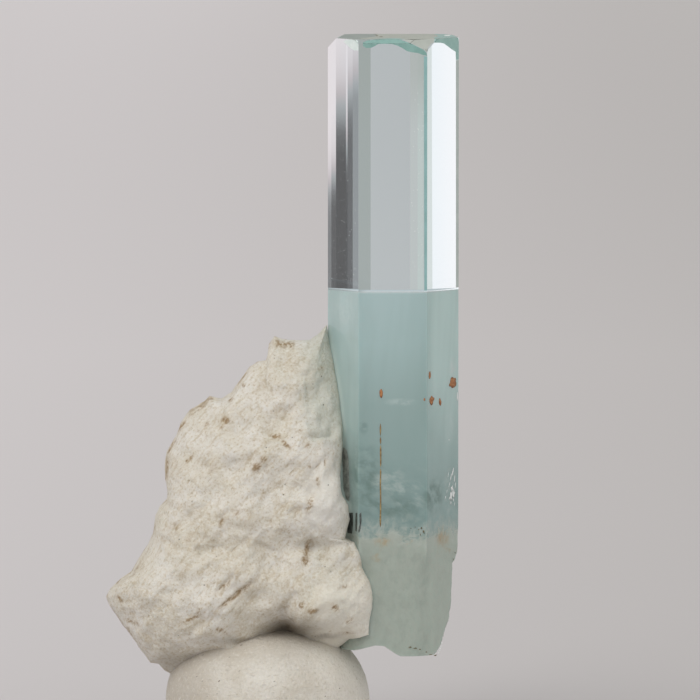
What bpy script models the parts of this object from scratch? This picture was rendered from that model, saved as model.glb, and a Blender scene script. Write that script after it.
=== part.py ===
"""Aquamarine crystal on a lump of feldspar, set in mineral putty.

The specimen stands upright. A beryl prism with a flat top and small corner
faces is grown into the right side of a feldspar lump, and the lump is pressed
into a flat-footed mound of putty. Units are metres and +Z is up; the
sizes below are in millimetres and MM turns them into metres.
"""

import math

import bmesh
import bpy
from mathutils import Matrix, Vector, noise

MM = 0.001

# Clearance left between two pieces that touch.
GAP = 0.30

# Beryl prism: its middle, and the corners of its plan as (x, y), counter-clockwise
# from the left. The front is half a hexagon whose left face bends a little at
# growth steps. Narrow faces round the back.
AXIS_X = 8.03
AXIS_Y = 0.50
PRISM_PLAN = {
    "left": (3.34, -0.04), "step_1": (3.591, -0.541), "step_2": (3.924, -1.174),
    "step_3": (4.642, -2.459), "step_4": (4.759, -2.658), "step_5": (5.123, -3.249),
    "front_left": (5.536, -3.89), "front_right": (10.44, -3.89), "right": (12.74, 0.09),
    "right_shoulder": (12.36, 3.30), "back_right_2": (11.75, 4.50),
    "back_right": (10.85, 4.89), "back_left": (5.20, 4.89), "back_left_2": (4.42, 4.38),
    "left_shoulder": (3.80, 2.95)}
CRYSTAL_TOP = 50.95
CRYSTAL_BOTTOM = 6.66

# Corner faces and bevels at the top: a point (x, y, depth below the top) on
# each, the compass angle of its normal and the normal's slope.
TOP_FACES = [
    (3.97, -1.25, 0.0, 174.5, 45.0), (10.44, -3.89, 0.78, -64.0, 47.0),
    (5.536, -3.89, 0.28, -120.0, 45.0), (12.74, 0.09, 0.06, 0.0, 45.0),
    (5.20, 4.89, 0.10, 120.0, 45.0), (10.85, 4.89, 0.10, 60.0, 45.0),
    (8.03, -3.89, 0.28, -90.0, 60.0)]

# Broken lower end of the prism: (x, z) profiles of what is missing, and how far
# each is turned about the prism's middle.
BREAK_RIGHT = [(13.2, 15.0), (12.5, 13.7), (12.0, 12.84), (11.88, 11.85), (11.78, 9.69),
               (11.55, 8.99), (10.82, 7.61), (10.15, 6.6), (10.15, 4.0), (15.0, 4.0),
               (15.0, 15.0)]
RIGHT_TURN = 15.0
BREAK_LOW = [(9.25, 6.5), (8.95, 6.8), (8.05, 7.4), (7.45, 7.45), (5.75, 7.0),
             (2.0, 6.8), (2.0, 4.0), (9.25, 4.0)]
LOW_TURN = -9.0

# Feldspar lump: centre and front outline as (x, z), going clockwise from the
# peak beside the crystal.
ROCK_X = -1.4
ROCK_Z = 16.1
ROCK_OUTLINE = [
    (3.25, 30.2), (3.5, 28.8), (3.7, 27.7), (4.0, 26.2), (4.2, 24.8), (4.4, 23.0),
    (4.4, 21.9), (4.3, 20.8), (4.2, 18.8), (4.35, 18.2), (4.8, 17.5), (4.9, 16.5),
    (4.6, 15.1), (5.25, 14.9), (5.5, 14.4), (5.7, 13.9), (5.8, 13.1), (6.3, 12.1),
    (6.5, 11.3), (6.5, 10.3), (6.35, 9.2), (6.3, 8.2), (4.9, 7.8), (3.9, 6.9),
    (2.4, 5.9), (0.2, 5.6), (-1.9, 5.6), (-4.1, 5.6), (-5.9, 5.6), (-6.8, 5.3),
    (-7.9, 4.8), (-8.4, 5.1), (-8.9, 5.6), (-9.5, 5.7), (-10.1, 6.6), (-10.8, 7.6),
    (-11.4, 8.3), (-12.1, 9.3), (-12.5, 9.8), (-12.7, 10.4), (-12.4, 11.0),
    (-11.7, 11.7), (-10.9, 12.15), (-10.3, 13.2), (-9.7, 14.1), (-9.3, 15.0),
    (-9.1, 16.4), (-8.8, 17.0), (-8.2, 17.5), (-8.2, 18.3), (-8.4, 19.1),
    (-8.45, 20.1), (-8.3, 21.0), (-7.6, 22.2), (-7.3, 23.0), (-6.6, 24.0),
    (-5.6, 24.6), (-5.2, 25.0), (-4.3, 24.8), (-3.6, 25.3), (-3.1, 26.1),
    (-2.3, 27.2), (-1.7, 27.6), (-1.05, 27.7), (-0.9, 28.8), (-0.5, 29.4),
    (0.1, 29.2), (1.3, 29.1), (2.1, 29.1), (2.6, 29.5)]
ROCK_RINGS = 56
ROCK_SPLIT = 4
ROCK_SMOOTH = 18
ROCK_KEEP = 0.20

# Thickness of the lump in front of and behind its rim, with the swells and
# hollows in it: (x, z, half-width, half-height, amount).
ROCK_FRONT = 4.9
ROCK_BACK = 5.2
FRONT_SWELLS = [(3.4, 10.3, 2.6, 2.6, 1.5), (-4.5, 12.0, 4.6, 3.6, 1.0),
                (2.9, 18.8, 2.2, 2.8, 0.5), (-1.6, 18.0, 3.6, 3.0, 0.4),
                (0.3, 7.3, 3.6, 1.4, -2.6), (0.1, 8.5, 1.3, 1.1, -1.2),
                (-6.0, 7.2, 2.2, 1.4, 0.9), (-1.0, 13.4, 1.6, 1.3, -0.3)]
BACK_SWELLS = [(-3.0, 11.5, 4.0, 3.6, 0.9), (1.5, 20.5, 3.2, 3.0, 0.6),
               (-6.0, 19.5, 2.6, 2.6, -0.5), (2.6, 12.0, 2.2, 2.4, -0.6)]
# Ledges that cross the lump: (x, z, compass of the upper side, width, height).
FRONT_LEDGES = [(0.0, 22.7, 96.0, 0.8, 0.75), (-3.0, 25.0, 112.0, 0.9, 0.5),
                (-2.0, 15.6, 128.0, 0.7, 0.35), (-6.0, 17.2, 133.0, 0.6, 0.35)]
BACK_LEDGES = [(0.0, 23.4, 80.0, 1.0, 0.9), (-3.0, 16.4, 60.0, 0.8, 0.6)]
# Flat cleavage faces that trim the lump: (x, z, compass it falls towards, fall
# per mm, depth at that point).
FRONT_FACETS = [(-8.5, 9.5, 205.0, 0.45, 4.4), (-6.0, 21.5, 140.0, 0.40, 4.3),
                (2.6, 26.0, 60.0, 0.30, 3.7), (-3.0, 7.6, 262.0, 0.90, 5.0),
                (5.4, 8.8, 300.0, 0.50, 4.9), (-2.0, 26.5, 150.0, 0.45, 3.7)]
BACK_FACETS = [(-7.0, 11.0, 200.0, 0.40, 4.8), (-4.5, 21.5, 130.0, 0.45, 4.6),
               (2.0, 25.5, 70.0, 0.30, 4.2), (-2.0, 8.0, 275.0, 0.70, 5.0),
               (-8.0, 17.5, 165.0, 0.40, 4.0), (1.0, 15.0, 15.0, 0.22, 5.4)]
FACET_FLOOR = 1.6
# How far the lump's rim wanders to the front and back of its middle.
RIM_WANDER = 1.5
# Cleavage ridges that run up to the right, and the general roughness.
RIDGE_COMPASS = 138.0
RIDGE_STEP = 1.9
RIDGE_HEIGHT = 0.18
ROUGH_HEIGHT = 0.38

# Putty mound.
PUTTY_X = -1.0
PUTTY_HALF_WIDTH = 7.4
PUTTY_HALF_DEPTH = 7.3
PUTTY_TOP = 8.45
PUTTY_WAIST = 2.6
PUTTY_SEGMENTS = 44
PUTTY_RINGS = 18


def collection(name):
    """Return a new collection linked to the scene."""
    made = bpy.data.collections.new(name)
    bpy.context.scene.collection.children.link(made)
    return made


def material(name, colour, roughness, transmission=0.0, ior=1.45):
    """Return a Principled material with one colour."""
    mat = bpy.data.materials.new(name)
    mat.use_nodes = True
    shader = mat.node_tree.nodes["Principled BSDF"]
    shader.inputs["Base Color"].default_value = (*colour, 1.0)
    shader.inputs["Roughness"].default_value = roughness
    shader.inputs["Metallic"].default_value = 0.0
    shader.inputs["Transmission Weight"].default_value = transmission
    shader.inputs["IOR"].default_value = ior
    mat.diffuse_color = (*colour, 1.0)
    return mat


def object_from(bm, name, group, mat=None):
    """Turn a bmesh in millimetres into an object in metres."""
    bmesh.ops.scale(bm, vec=(MM, MM, MM), verts=bm.verts)
    bmesh.ops.recalc_face_normals(bm, faces=bm.faces)
    mesh = bpy.data.meshes.new(name)
    bm.to_mesh(mesh)
    bm.free()
    if mat is not None:
        mesh.materials.append(mat)
    obj = bpy.data.objects.new(name, mesh)
    group.objects.link(obj)
    return obj


def compass(angle, slope=0.0):
    """Unit vector at a compass angle, raised by a slope in degrees."""
    a = math.radians(angle)
    s = math.radians(slope)
    return Vector((math.cos(a) * math.cos(s), math.sin(a) * math.cos(s), math.sin(s)))


def slice_off(bm, point, normal):
    """Cut away what lies beyond a plane and close the cut."""
    geom = bm.verts[:] + bm.edges[:] + bm.faces[:]
    cut = bmesh.ops.bisect_plane(bm, geom=geom, plane_co=point, plane_no=normal,
                                 clear_outer=True, dist=1e-5)
    rim = [e for e in cut["geom_cut"] if isinstance(e, bmesh.types.BMEdge)]
    if rim:
        bmesh.ops.holes_fill(bm, edges=rim, sides=0)


def prism(top, bottom, grow=0.0):
    """Prism cut from a block by the side faces between its plan's corners."""
    bm = bmesh.new()
    bmesh.ops.create_cube(bm, size=1.0)
    bmesh.ops.scale(bm, vec=(40.0, 40.0, top - bottom), verts=bm.verts)
    centre = Vector((AXIS_X, AXIS_Y, (top + bottom) / 2))
    bmesh.ops.translate(bm, vec=centre, verts=bm.verts)
    corners = list(PRISM_PLAN.values())
    for (x0, y0), (x1, y1) in zip(corners, corners[1:] + corners[:1]):
        normal = Vector((y1 - y0, x0 - x1, 0.0)).normalized()
        slice_off(bm, Vector((x0, y0, 0.0)) + normal * grow, normal)
    return bm


def crystal_block():
    """Prism with its corner faces and the narrow bevels at the top."""
    bm = prism(CRYSTAL_TOP, CRYSTAL_BOTTOM)
    for x, y, drop, angle, slope in TOP_FACES:
        slice_off(bm, Vector((x, y, CRYSTAL_TOP - drop)), compass(angle, slope))
    return bm


def outline_cutter(name, points, depth, turn, group):
    """Flat outline in the XZ plane made thick along Y, as a closed mesh."""
    curve = bpy.data.curves.new(name, "CURVE")
    curve.dimensions = "2D"
    curve.fill_mode = "BOTH"
    curve.extrude = depth * MM / 2
    spline = curve.splines.new("POLY")
    spline.points.add(len(points) - 1)
    for point, (x, z) in zip(spline.points, points):
        point.co = (x * MM, z * MM, 0.0, 1.0)
    spline.use_cyclic_u = True
    shape = bpy.data.objects.new(name, curve)
    pivot = Matrix.Translation((AXIS_X * MM, AXIS_Y * MM, 0.0))
    tilt = pivot @ Matrix.Rotation(math.radians(turn), 4, "Z") @ pivot.inverted()
    shape.matrix_world = tilt @ Matrix.Rotation(math.radians(90), 4, "X")
    group.objects.link(shape)
    bpy.context.view_layer.update()
    graph = bpy.context.evaluated_depsgraph_get()
    mesh = bpy.data.meshes.new_from_object(shape.evaluated_get(graph))
    bm = bmesh.new()
    bm.from_mesh(mesh)
    bmesh.ops.remove_doubles(bm, verts=bm.verts, dist=1e-6)
    bmesh.ops.recalc_face_normals(bm, faces=bm.faces)
    bm.to_mesh(mesh)
    bm.free()
    cutter = bpy.data.objects.new(name, mesh)
    cutter.matrix_world = shape.matrix_world
    bpy.data.objects.remove(shape)
    group.objects.link(cutter)
    return as_cutter(cutter)


def as_cutter(obj):
    """Keep a cutting shape out of the model."""
    obj.hide_render = True
    obj.display_type = "WIRE"
    return obj


def cut(obj, cutter):
    """Take a cutter's shape out of an object."""
    mod = obj.modifiers.new("cut_" + cutter.name, "BOOLEAN")
    mod.operation = "DIFFERENCE"
    mod.solver = "EXACT"
    mod.object = cutter


def swell(x, z, swells):
    """Sum of the rounded swells and hollows at a point of the lump."""
    total = 0.0
    for cx, cz, rx, rz, amount in swells:
        total += amount * math.exp(-((x - cx) / rx) ** 2 - ((z - cz) / rz) ** 2)
    return total


def ledge(x, z, ledges):
    """How far the ledges set the surface back at a point of the lump."""
    total = 0.0
    for cx, cz, angle, width, height in ledges:
        a = math.radians(angle)
        wave = 0.35 * math.sin(1.7 * x + 0.9 * z)
        across = (x - cx) * math.cos(a) + (z - cz) * math.sin(a) + wave
        total += height / (1.0 + math.exp(-4.0 * across / width))
    return total


def ridges(x, z):
    """Saw-edged cleavage ridges, from 0 in a groove to 1 on a crest."""
    a = math.radians(RIDGE_COMPASS)
    across = (x * math.cos(a) + z * math.sin(a)) / RIDGE_STEP
    across += 0.6 * noise.noise(Vector((x * 0.25, 0.0, z * 0.25)))
    phase = across - math.floor(across)
    return phase if phase < 0.8 else (1.0 - phase) * 4.0


def rim_depth(x, z):
    """Depth of the lump's rim.

    On the right it follows the crystal's left front face. On the free sides it
    wanders to the front and back of the lump's middle.
    """
    left_x, left_y = PRISM_PLAN["left"]
    front_x, front_y = PRISM_PLAN["front_left"]
    if x <= left_x:
        fade = min((left_x - x) / 4.0, 1.0)
        return RIM_WANDER * fade * noise.noise(Vector((x * 0.23, 7.0, z * 0.23))) * 2.0
    share = min((x - left_x) / (front_x - left_x), 1.0)
    return left_y + share * (front_y - left_y) - 0.45


def trimmed(x, z, depth, facets):
    """Depth after the flat cleavage faces have cut the surface back."""
    for cx, cz, angle, fall, level in facets:
        a = math.radians(angle)
        across = (x - cx) * math.cos(a) + (z - cz) * math.sin(a)
        depth = min(depth, max(level - fall * across, FACET_FLOOR))
    return depth


def thickness(x, z, front):
    """Distance from the lump's middle to its front or back surface."""
    if front:
        depth = ROCK_FRONT + swell(x, z, FRONT_SWELLS) - ledge(x, z, FRONT_LEDGES)
        depth = trimmed(x, z, depth, FRONT_FACETS)
    else:
        depth = ROCK_BACK + swell(x, z, BACK_SWELLS) - ledge(x, z, BACK_LEDGES)
        depth = trimmed(x, z, depth, BACK_FACETS)
    seed = 0.0 if front else 31.0
    rough = noise.fractal(Vector((x * 0.42, seed, z * 0.42)), 0.9, 2.0, 4)
    return depth + RIDGE_HEIGHT * ridges(x, z) + ROUGH_HEIGHT * rough


def rock_rim():
    """Outline points of the lump, each side split into equal parts."""
    points = []
    count = len(ROCK_OUTLINE)
    for i, (x0, z0) in enumerate(ROCK_OUTLINE):
        x1, z1 = ROCK_OUTLINE[(i + 1) % count]
        for k in range(ROCK_SPLIT):
            t = k / ROCK_SPLIT
            points.append((x0 + (x1 - x0) * t, z0 + (z1 - z0) * t))
    return points


def eased(values, reach):
    """Each value of a closed row averaged with its neighbours."""
    count = len(values)
    span = range(-reach, reach + 1)
    return [sum(values[(i + k) % count] for k in span) / len(span) for i in range(count)]


def rock_shape(grow=0.0):
    """Lump as a sphere whose meridians run out to the outline's points.

    A ring a share u of the way from pole to rim has radius s = 1 - (1 - u)^1.9
    of the outline, and depth g = (1 - s^8)^0.5 of the thickness, which gives a
    full, blunt-edged lump. Away from the rim the radius eases to a smoothed
    outline, so that the outline's teeth do not run on across the faces.
    """
    rim = rock_rim()
    reach = [math.hypot(rx - ROCK_X, rz - ROCK_Z) for rx, rz in rim]
    smooth = eased(reach, ROCK_SMOOTH)
    bm = bmesh.new()
    bmesh.ops.create_uvsphere(bm, u_segments=len(rim), v_segments=ROCK_RINGS, radius=1.0)
    for vert in bm.verts:
        front = vert.co.z > 0
        tilt = math.atan2(math.hypot(vert.co.x, vert.co.y), abs(vert.co.z)) / (math.pi / 2)
        turn = math.atan2(vert.co.y, vert.co.x) / (2 * math.pi)
        pick = round(turn * len(rim)) % len(rim)
        rx, rz = rim[pick]
        s = 1.0 - (1.0 - min(tilt, 1.0)) ** 1.9
        g = math.sqrt(max(0.0, 1.0 - s ** 8))
        share = s ** 10
        scale = s * (share + (1.0 - share) * smooth[pick] / reach[pick])
        x = ROCK_X + (rx - ROCK_X) * scale
        z = ROCK_Z + (rz - ROCK_Z) * scale
        out = Vector((rx - ROCK_X, 0.0, rz - ROCK_Z)).normalized() * (grow * s)
        depth = thickness(x, z, front) + grow
        y = rim_depth(rx, rz) * (1.0 - g) + (-depth if front else depth) * g
        vert.co = Vector((x, y, z)) + out
    return bm


def thin_out(obj, keep):
    """Collapse a dense mesh to a share of its faces, keeping its form."""
    mod = obj.modifiers.new("thin_out", "DECIMATE")
    mod.decimate_type = "COLLAPSE"
    mod.ratio = keep
    mod.use_collapse_triangulate = True


def putty_shape():
    """Mound: a squashed ball, fullest near its foot and cut flat below."""
    bm = bmesh.new()
    bmesh.ops.create_uvsphere(bm, u_segments=PUTTY_SEGMENTS, v_segments=PUTTY_RINGS,
                              radius=1.0)
    for vert in bm.verts:
        up = vert.co.z
        flat = math.hypot(vert.co.x, vert.co.y)
        ring = flat ** 0.72 if flat > 1e-6 else 0.0
        angle = math.atan2(vert.co.y, vert.co.x)
        lobes = 1.0 - 0.018 * (1.0 + math.cos(3 * angle + 0.6)) * abs(up)
        lobes -= 0.012 * (1.0 - math.cos(4 * angle))
        height = PUTTY_TOP - PUTTY_WAIST if up > 0 else PUTTY_WAIST * 2.2
        lift = math.copysign(abs(up) ** 0.86, up)
        x = PUTTY_X + math.cos(angle) * ring * lobes * PUTTY_HALF_WIDTH
        y = math.sin(angle) * ring * lobes * PUTTY_HALF_DEPTH
        z = PUTTY_WAIST + height * lift
        vert.co = Vector((x, y, z))
    slice_off(bm, Vector((0.0, 0.0, 0.0)), Vector((0.0, 0.0, -1.0)))
    return bm


def build():
    """Model the crystal, its matrix and the putty under them."""
    parts = collection("aquamarine_specimen")
    tools = collection("cutters")

    beryl = material("beryl", (0.55, 0.76, 0.74), 0.04, 0.9, 1.577)
    feldspar = material("feldspar", (0.66, 0.61, 0.51), 0.62)
    putty = material("mineral_putty", (0.62, 0.57, 0.48), 0.55)

    crystal = object_from(crystal_block(), "aquamarine_crystal", parts, beryl)
    cut(crystal, outline_cutter("break_right", BREAK_RIGHT, 40.0, RIGHT_TURN, tools))
    cut(crystal, outline_cutter("break_low", BREAK_LOW, 40.0, LOW_TURN, tools))

    socket = as_cutter(object_from(prism(60.0, CRYSTAL_BOTTOM - GAP, GAP), "socket", tools))
    lump = object_from(rock_shape(), "feldspar_matrix", parts, feldspar)
    thin_out(lump, ROCK_KEEP)
    cut(lump, socket)

    pocket = as_cutter(object_from(rock_shape(GAP), "pocket", tools))
    thin_out(pocket, ROCK_KEEP)
    mound = object_from(putty_shape(), "putty_mount", parts, putty)
    cut(mound, pocket)
    cut(mound, socket)
    for face in mound.data.polygons:
        face.use_smooth = True


for old in list(bpy.data.objects):
    bpy.data.objects.remove(old, do_unlink=True)
build()
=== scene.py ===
"""Finished look of an aquamarine crystal on feldspar, set in mineral putty.

The specimen stands upright with its front towards -Y. Sizes are in millimetres
and MM turns them into metres. Flat crystal faces are worked out as planes that
bound a solid. The cloudy lower crystal, the feldspar and the putty are surfaces
on a grid. Small flakes, stains and glints lie on the crystal's faces.
"""

import logging
import math
from dataclasses import dataclass, field
from enum import Enum, IntEnum
from itertools import combinations

import bpy
import numpy as np
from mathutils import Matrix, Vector
from mathutils.geometry import delaunay_2d_cdt


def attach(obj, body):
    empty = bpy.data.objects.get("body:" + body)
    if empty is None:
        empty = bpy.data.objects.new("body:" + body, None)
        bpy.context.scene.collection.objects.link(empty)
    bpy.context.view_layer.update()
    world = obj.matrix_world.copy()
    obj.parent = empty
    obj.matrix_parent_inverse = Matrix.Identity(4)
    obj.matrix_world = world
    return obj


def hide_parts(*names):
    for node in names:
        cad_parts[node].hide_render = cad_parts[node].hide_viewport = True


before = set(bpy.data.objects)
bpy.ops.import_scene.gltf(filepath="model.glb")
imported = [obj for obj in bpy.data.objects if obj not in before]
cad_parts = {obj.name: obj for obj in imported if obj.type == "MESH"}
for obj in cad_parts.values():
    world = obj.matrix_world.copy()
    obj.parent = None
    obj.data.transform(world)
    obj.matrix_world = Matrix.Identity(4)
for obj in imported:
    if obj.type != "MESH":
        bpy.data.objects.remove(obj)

MM = 0.001
BERYL_IOR = 1.577
UP = np.array([0.0, 0.0, 1.0])
LOG = logging.getLogger("aquamarine")
Colour = tuple[float, float, float]
Pair = tuple[float, float]
Socket = bpy.types.NodeSocket
Value = Socket | float | Colour


class Seed(IntEnum):
    """Which set of repeatable numbers each uneven surface draws on."""

    GRAIN_WARP = 2
    MARK_EDGE = 3
    RIM_WANDER = 4
    FOOT_WALL = 5
    FOOT_UNDERSIDE = 9
    LUMP_DEPTH = 11
    TUBE_SWAY = 21
    TUBE_TAPER = 22
    RIM_STAIN = 41
    BROAD_DENTS = 61
    FINE_DENTS = 62
    STAIN_GAPS = 77
    RIBS = 100
    GRAINS = 200
    CRUMBS = 300
    KNOBS = 400


# ---------------------------------------------------------------- numbers


def tone(red: float, green: float, blue: float) -> Colour:
    """Linear colour of a display colour.

    Args:
        red, green, blue: display values from 0 to 255.

    Returns:
        The three linear values.
    """
    v = np.array([red, green, blue]) / 255.0
    linear = np.where(v <= 0.04045, v / 12.92, ((v + 0.055) / 1.055) ** 2.4)
    return tuple(float(c) for c in linear)


def compass(angle: float, slope: float = 0.0) -> np.ndarray:
    """Unit vector at a compass angle, raised by a slope, both in degrees."""
    a, s = math.radians(angle), math.radians(slope)
    return np.array([math.cos(a) * math.cos(s), math.sin(a) * math.cos(s), math.sin(s)])


def smooth_step(low: float, high: float, value: np.ndarray) -> np.ndarray:
    """Soft step: t squared times (3 - 2t), t running from 0 at low to 1 at high."""
    t = np.clip((value - low) / (high - low), 0.0, 1.0)
    return t * t * (3.0 - 2.0 * t)


def turned(x: np.ndarray, z: np.ndarray, way: np.ndarray) -> tuple[np.ndarray, np.ndarray]:
    """Parts of an offset (x, z) along a unit direction and across it."""
    return x * way[0] + z * way[1], z * way[0] - x * way[1]


def patch(x: np.ndarray, z: np.ndarray, middle: Pair, half: Pair,
          lean: float = 0.0) -> np.ndarray:
    """Bell over the front view: exp(-(u / half-length)^2 - (v / half-width)^2).

    Args:
        x, z: points seen from the front.
        middle: the bell's middle.
        half: its half-length and half-width.
        lean: angle of its length in degrees; u runs along it and v across.

    Returns:
        A value from 0 to 1 at each point.
    """
    u, v = turned(x - middle[0], z - middle[1], compass(lean))
    return np.exp(-(u / half[0]) ** 2 - (v / half[1]) ** 2)


def corner_numbers(cell: np.ndarray, seed: int) -> np.ndarray:
    """Repeatable number from 0 to 1 for each lattice corner.

    Args:
        cell: whole-number corner positions, shape (..., 3).
        seed: picks one of many independent sets of numbers.

    Returns:
        One number per corner, from the scrambled bits of its position.
    """
    c = cell.astype(np.int64)
    n = c[..., 0] * 73856093 ^ c[..., 1] * 19349663 ^ c[..., 2] * 83492791
    n = n ^ (seed * 40503 + 977)
    n = (n ^ (n >> 13)) * 1274126177 & 0x7FFFFFFF
    n = (n ^ (n >> 11)) * 668265263 & 0x7FFFFFFF
    return ((n ^ (n >> 15)) & 0xFFFFF) / float(0xFFFFF)


def soft_noise(p: np.ndarray, seed: int) -> np.ndarray:
    """Smooth noise, blended between the eight lattice corners round a point.

    Args:
        p: points, in units of one lattice step, shape (..., 3).
        seed: picks the noise.

    Returns:
        One value from -1 to 1 per point.
    """
    base = np.floor(p)
    t = smooth_step(0.0, 1.0, p - base)
    total = np.zeros(p.shape[:-1])
    for corner in np.ndindex(2, 2, 2):
        step = np.array(corner)
        weight = np.prod(np.where(step == 1, t, 1.0 - t), axis=-1)
        total += weight * corner_numbers(base + step, seed)
    return 2.0 * total - 1.0


def layered_noise(p: np.ndarray, octaves: int, seed: int) -> np.ndarray:
    """Sum of soft noises, each twice as fine and half as strong as the last.

    Args:
        p: points, in units of the broadest noise, shape (..., 3).
        octaves: how many noises are added.
        seed: picks the noises.

    Returns:
        One value per point.
    """
    total = np.zeros(p.shape[:-1])
    for k in range(octaves):
        total += soft_noise(p * 2.0 ** k, seed + 17 * k) * 0.5 ** k
    return total


def cleaved(p: np.ndarray, seed: int) -> np.ndarray:
    """Relief of broken grains, each a flat facet with its own tilt.

    Space is split among scattered grain centres. Inside a grain the height is
    the dot product of the grain's random tilt with the offset from its centre,
    plus the grain's own random level.

    Args:
        p: points, in units of one grain, shape (..., 3).
        seed: picks the arrangement of grains.

    Returns:
        Height at each point, mostly from -1 to 1.
    """
    base = np.floor(p)
    best = np.full(p.shape[:-1], np.inf)
    height = np.zeros(p.shape[:-1])
    for step in np.ndindex(3, 3, 3):
        cell = base + np.array(step) - 1
        jitter = np.stack([corner_numbers(cell, seed + k) for k in (1, 2, 3)], axis=-1)
        offset = p - (cell + 0.15 + 0.7 * jitter)
        distance = np.sum(offset * offset, axis=-1)
        tilt = np.stack([corner_numbers(cell, seed + k) for k in (4, 5, 6)], axis=-1) - 0.5
        level = corner_numbers(cell, seed + 7) - 0.5
        value = np.sum(tilt * offset, axis=-1) * 1.6 + level * 0.8
        nearer = distance < best
        height = np.where(nearer, value, height)
        best = np.where(nearer, distance, best)
    return height


def ring_average(values: np.ndarray, reach: int) -> np.ndarray:
    """Values round a closed ring, each the mean of its neighbours within reach."""
    span = np.arange(-reach, reach + 1)
    return values[(np.arange(len(values))[:, None] + span) % len(values)].mean(axis=1)


# ----------------------------------------------------------------- meshes


def make_mesh(name: str, points: np.ndarray, faces: list,
              smooth: bool = True) -> bpy.types.Object:
    """Object at the origin from points in millimetres.

    Args:
        name: object and mesh name.
        points: vertex positions, shape (n, 3).
        faces: vertex indices of each face.
        smooth: shade the faces smooth.

    Returns:
        The new object, linked to the scene.
    """
    mesh = bpy.data.meshes.new(name)
    mesh.from_pydata((points * MM).tolist(), [], faces)
    mesh.polygons.foreach_set("use_smooth", np.full(len(mesh.polygons), smooth))
    mesh.validate()
    mesh.update()
    made = bpy.data.objects.new(name, mesh)
    bpy.context.scene.collection.objects.link(made)
    return made


def solid_mesh(name: str, points: np.ndarray, faces: list, materials: list,
               smooth: bool = True) -> bpy.types.Object:
    """Closed piece with its faces turned outwards and its materials on.

    Every face is flipped if the signed volume, the sum of a . (b x c) over
    the triangles, is negative.

    Args:
        name: object name.
        points: vertex positions in millimetres, shape (n, 3).
        faces: vertex indices of each face, all wound the same way.
        materials: the piece's materials, in slot order.
        smooth: shade the faces smooth.

    Returns:
        The new object.
    """
    made = make_mesh(name, points, faces, smooth)
    mesh = made.data
    co = np.empty(len(mesh.vertices) * 3)
    mesh.vertices.foreach_get("co", co)
    mesh.calc_loop_triangles()
    tri = np.empty(len(mesh.loop_triangles) * 3, dtype=np.int64)
    mesh.loop_triangles.foreach_get("vertices", tri)
    a, b, c = co.reshape(-1, 3)[tri.reshape(-1, 3)].swapaxes(0, 1)
    if np.sum(a * np.cross(b, c)) < 0.0:
        mesh.flip_normals()
    for material in materials:
        mesh.materials.append(material)
    return made


def tube_faces(rows: int, columns: int, start: int = 0) -> list:
    """Quads between stacked closed rings, and a fan of triangles over each end.

    Args:
        rows: number of rings.
        columns: vertices in a ring.
        start: index of the first vertex. The first and last rings' end points
            follow the rings.

    Returns:
        Vertex indices of each face.
    """
    j = np.arange(columns)
    k = (j + 1) % columns
    base = start + np.arange(rows - 1)[:, None] * columns
    quads = np.stack([base + j, base + k, base + k + columns, base + j + columns], axis=-1)
    tip = np.full(columns, start + rows * columns)
    last = start + (rows - 1) * columns
    low = np.column_stack([tip, start + k, start + j])
    high = np.column_stack([last + j, last + k, tip + 1])
    return quads.reshape(-1, 4).tolist() + low.tolist() + high.tolist()


def closed_mesh(name: str, rings: np.ndarray, materials: list,
                sharp: float) -> bpy.types.Object:
    """Closed surface from rings of points, each end closed by a fan.

    Args:
        name: object name.
        rings: points, shape (rows, columns, 3).
        materials: the piece's materials, in slot order.
        sharp: angle in degrees from which an edge is shaded sharp.

    Returns:
        The new object with its faces turned outwards.
    """
    ends = np.stack([rings[0].mean(axis=0), rings[-1].mean(axis=0)])
    points = np.concatenate([rings.reshape(-1, 3), ends])
    made = solid_mesh(name, points, tube_faces(*rings.shape[:2]), materials)
    made.data.set_sharp_from_angle(angle=math.radians(sharp))
    return made


def convex_body(normals: np.ndarray, offsets: np.ndarray) -> tuple[np.ndarray, list]:
    """Solid bounded by planes.

    Every three planes meet in a point. The corners are the points that lie
    inside all other planes, and a face is the corners on its plane, put in
    order by their angle about the face's middle.

    Args:
        normals: outward unit normals, shape (n, 3).
        offsets: distance of each plane from the origin along its normal.

    Returns:
        Corner positions, and faces as lists of indices.
    """
    trios = np.array(list(combinations(range(len(normals)), 3)))
    systems = normals[trios]
    solvable = np.abs(np.linalg.det(systems)) > 1e-6
    points = np.linalg.solve(systems[solvable], offsets[trios[solvable]][..., None])[..., 0]
    points = points[(points @ normals.T <= offsets + 1e-5).all(axis=1)]
    apart = np.linalg.norm(points[:, None] - points[None], axis=-1)
    points = points[np.unique((apart < 1e-3).argmax(axis=1))]
    faces = []
    for normal, offset in zip(normals, offsets):
        on = np.flatnonzero(np.abs(points @ normal - offset) < 2e-3)
        if len(on) < 3:
            continue
        arms = points[on] - points[on].mean(axis=0)
        v = np.cross(normal, arms[0])
        faces.append(on[np.argsort(np.arctan2(arms @ v, arms @ arms[0]))].tolist())
    return points, faces


def paint(obj: bpy.types.Object, name: str, values: np.ndarray) -> None:
    """Store one number per vertex for the piece's material to read.

    Args:
        obj: the piece.
        name: the attribute's name.
        values: numbers in vertex order; vertices past their end get 0.
    """
    layer = obj.data.attributes.new(name, "FLOAT", "POINT")
    padded = np.zeros(len(obj.data.vertices))
    padded[:values.size] = values.ravel()
    layer.data.foreach_set("value", padded)


# -------------------------------------------------------------- materials


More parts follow.
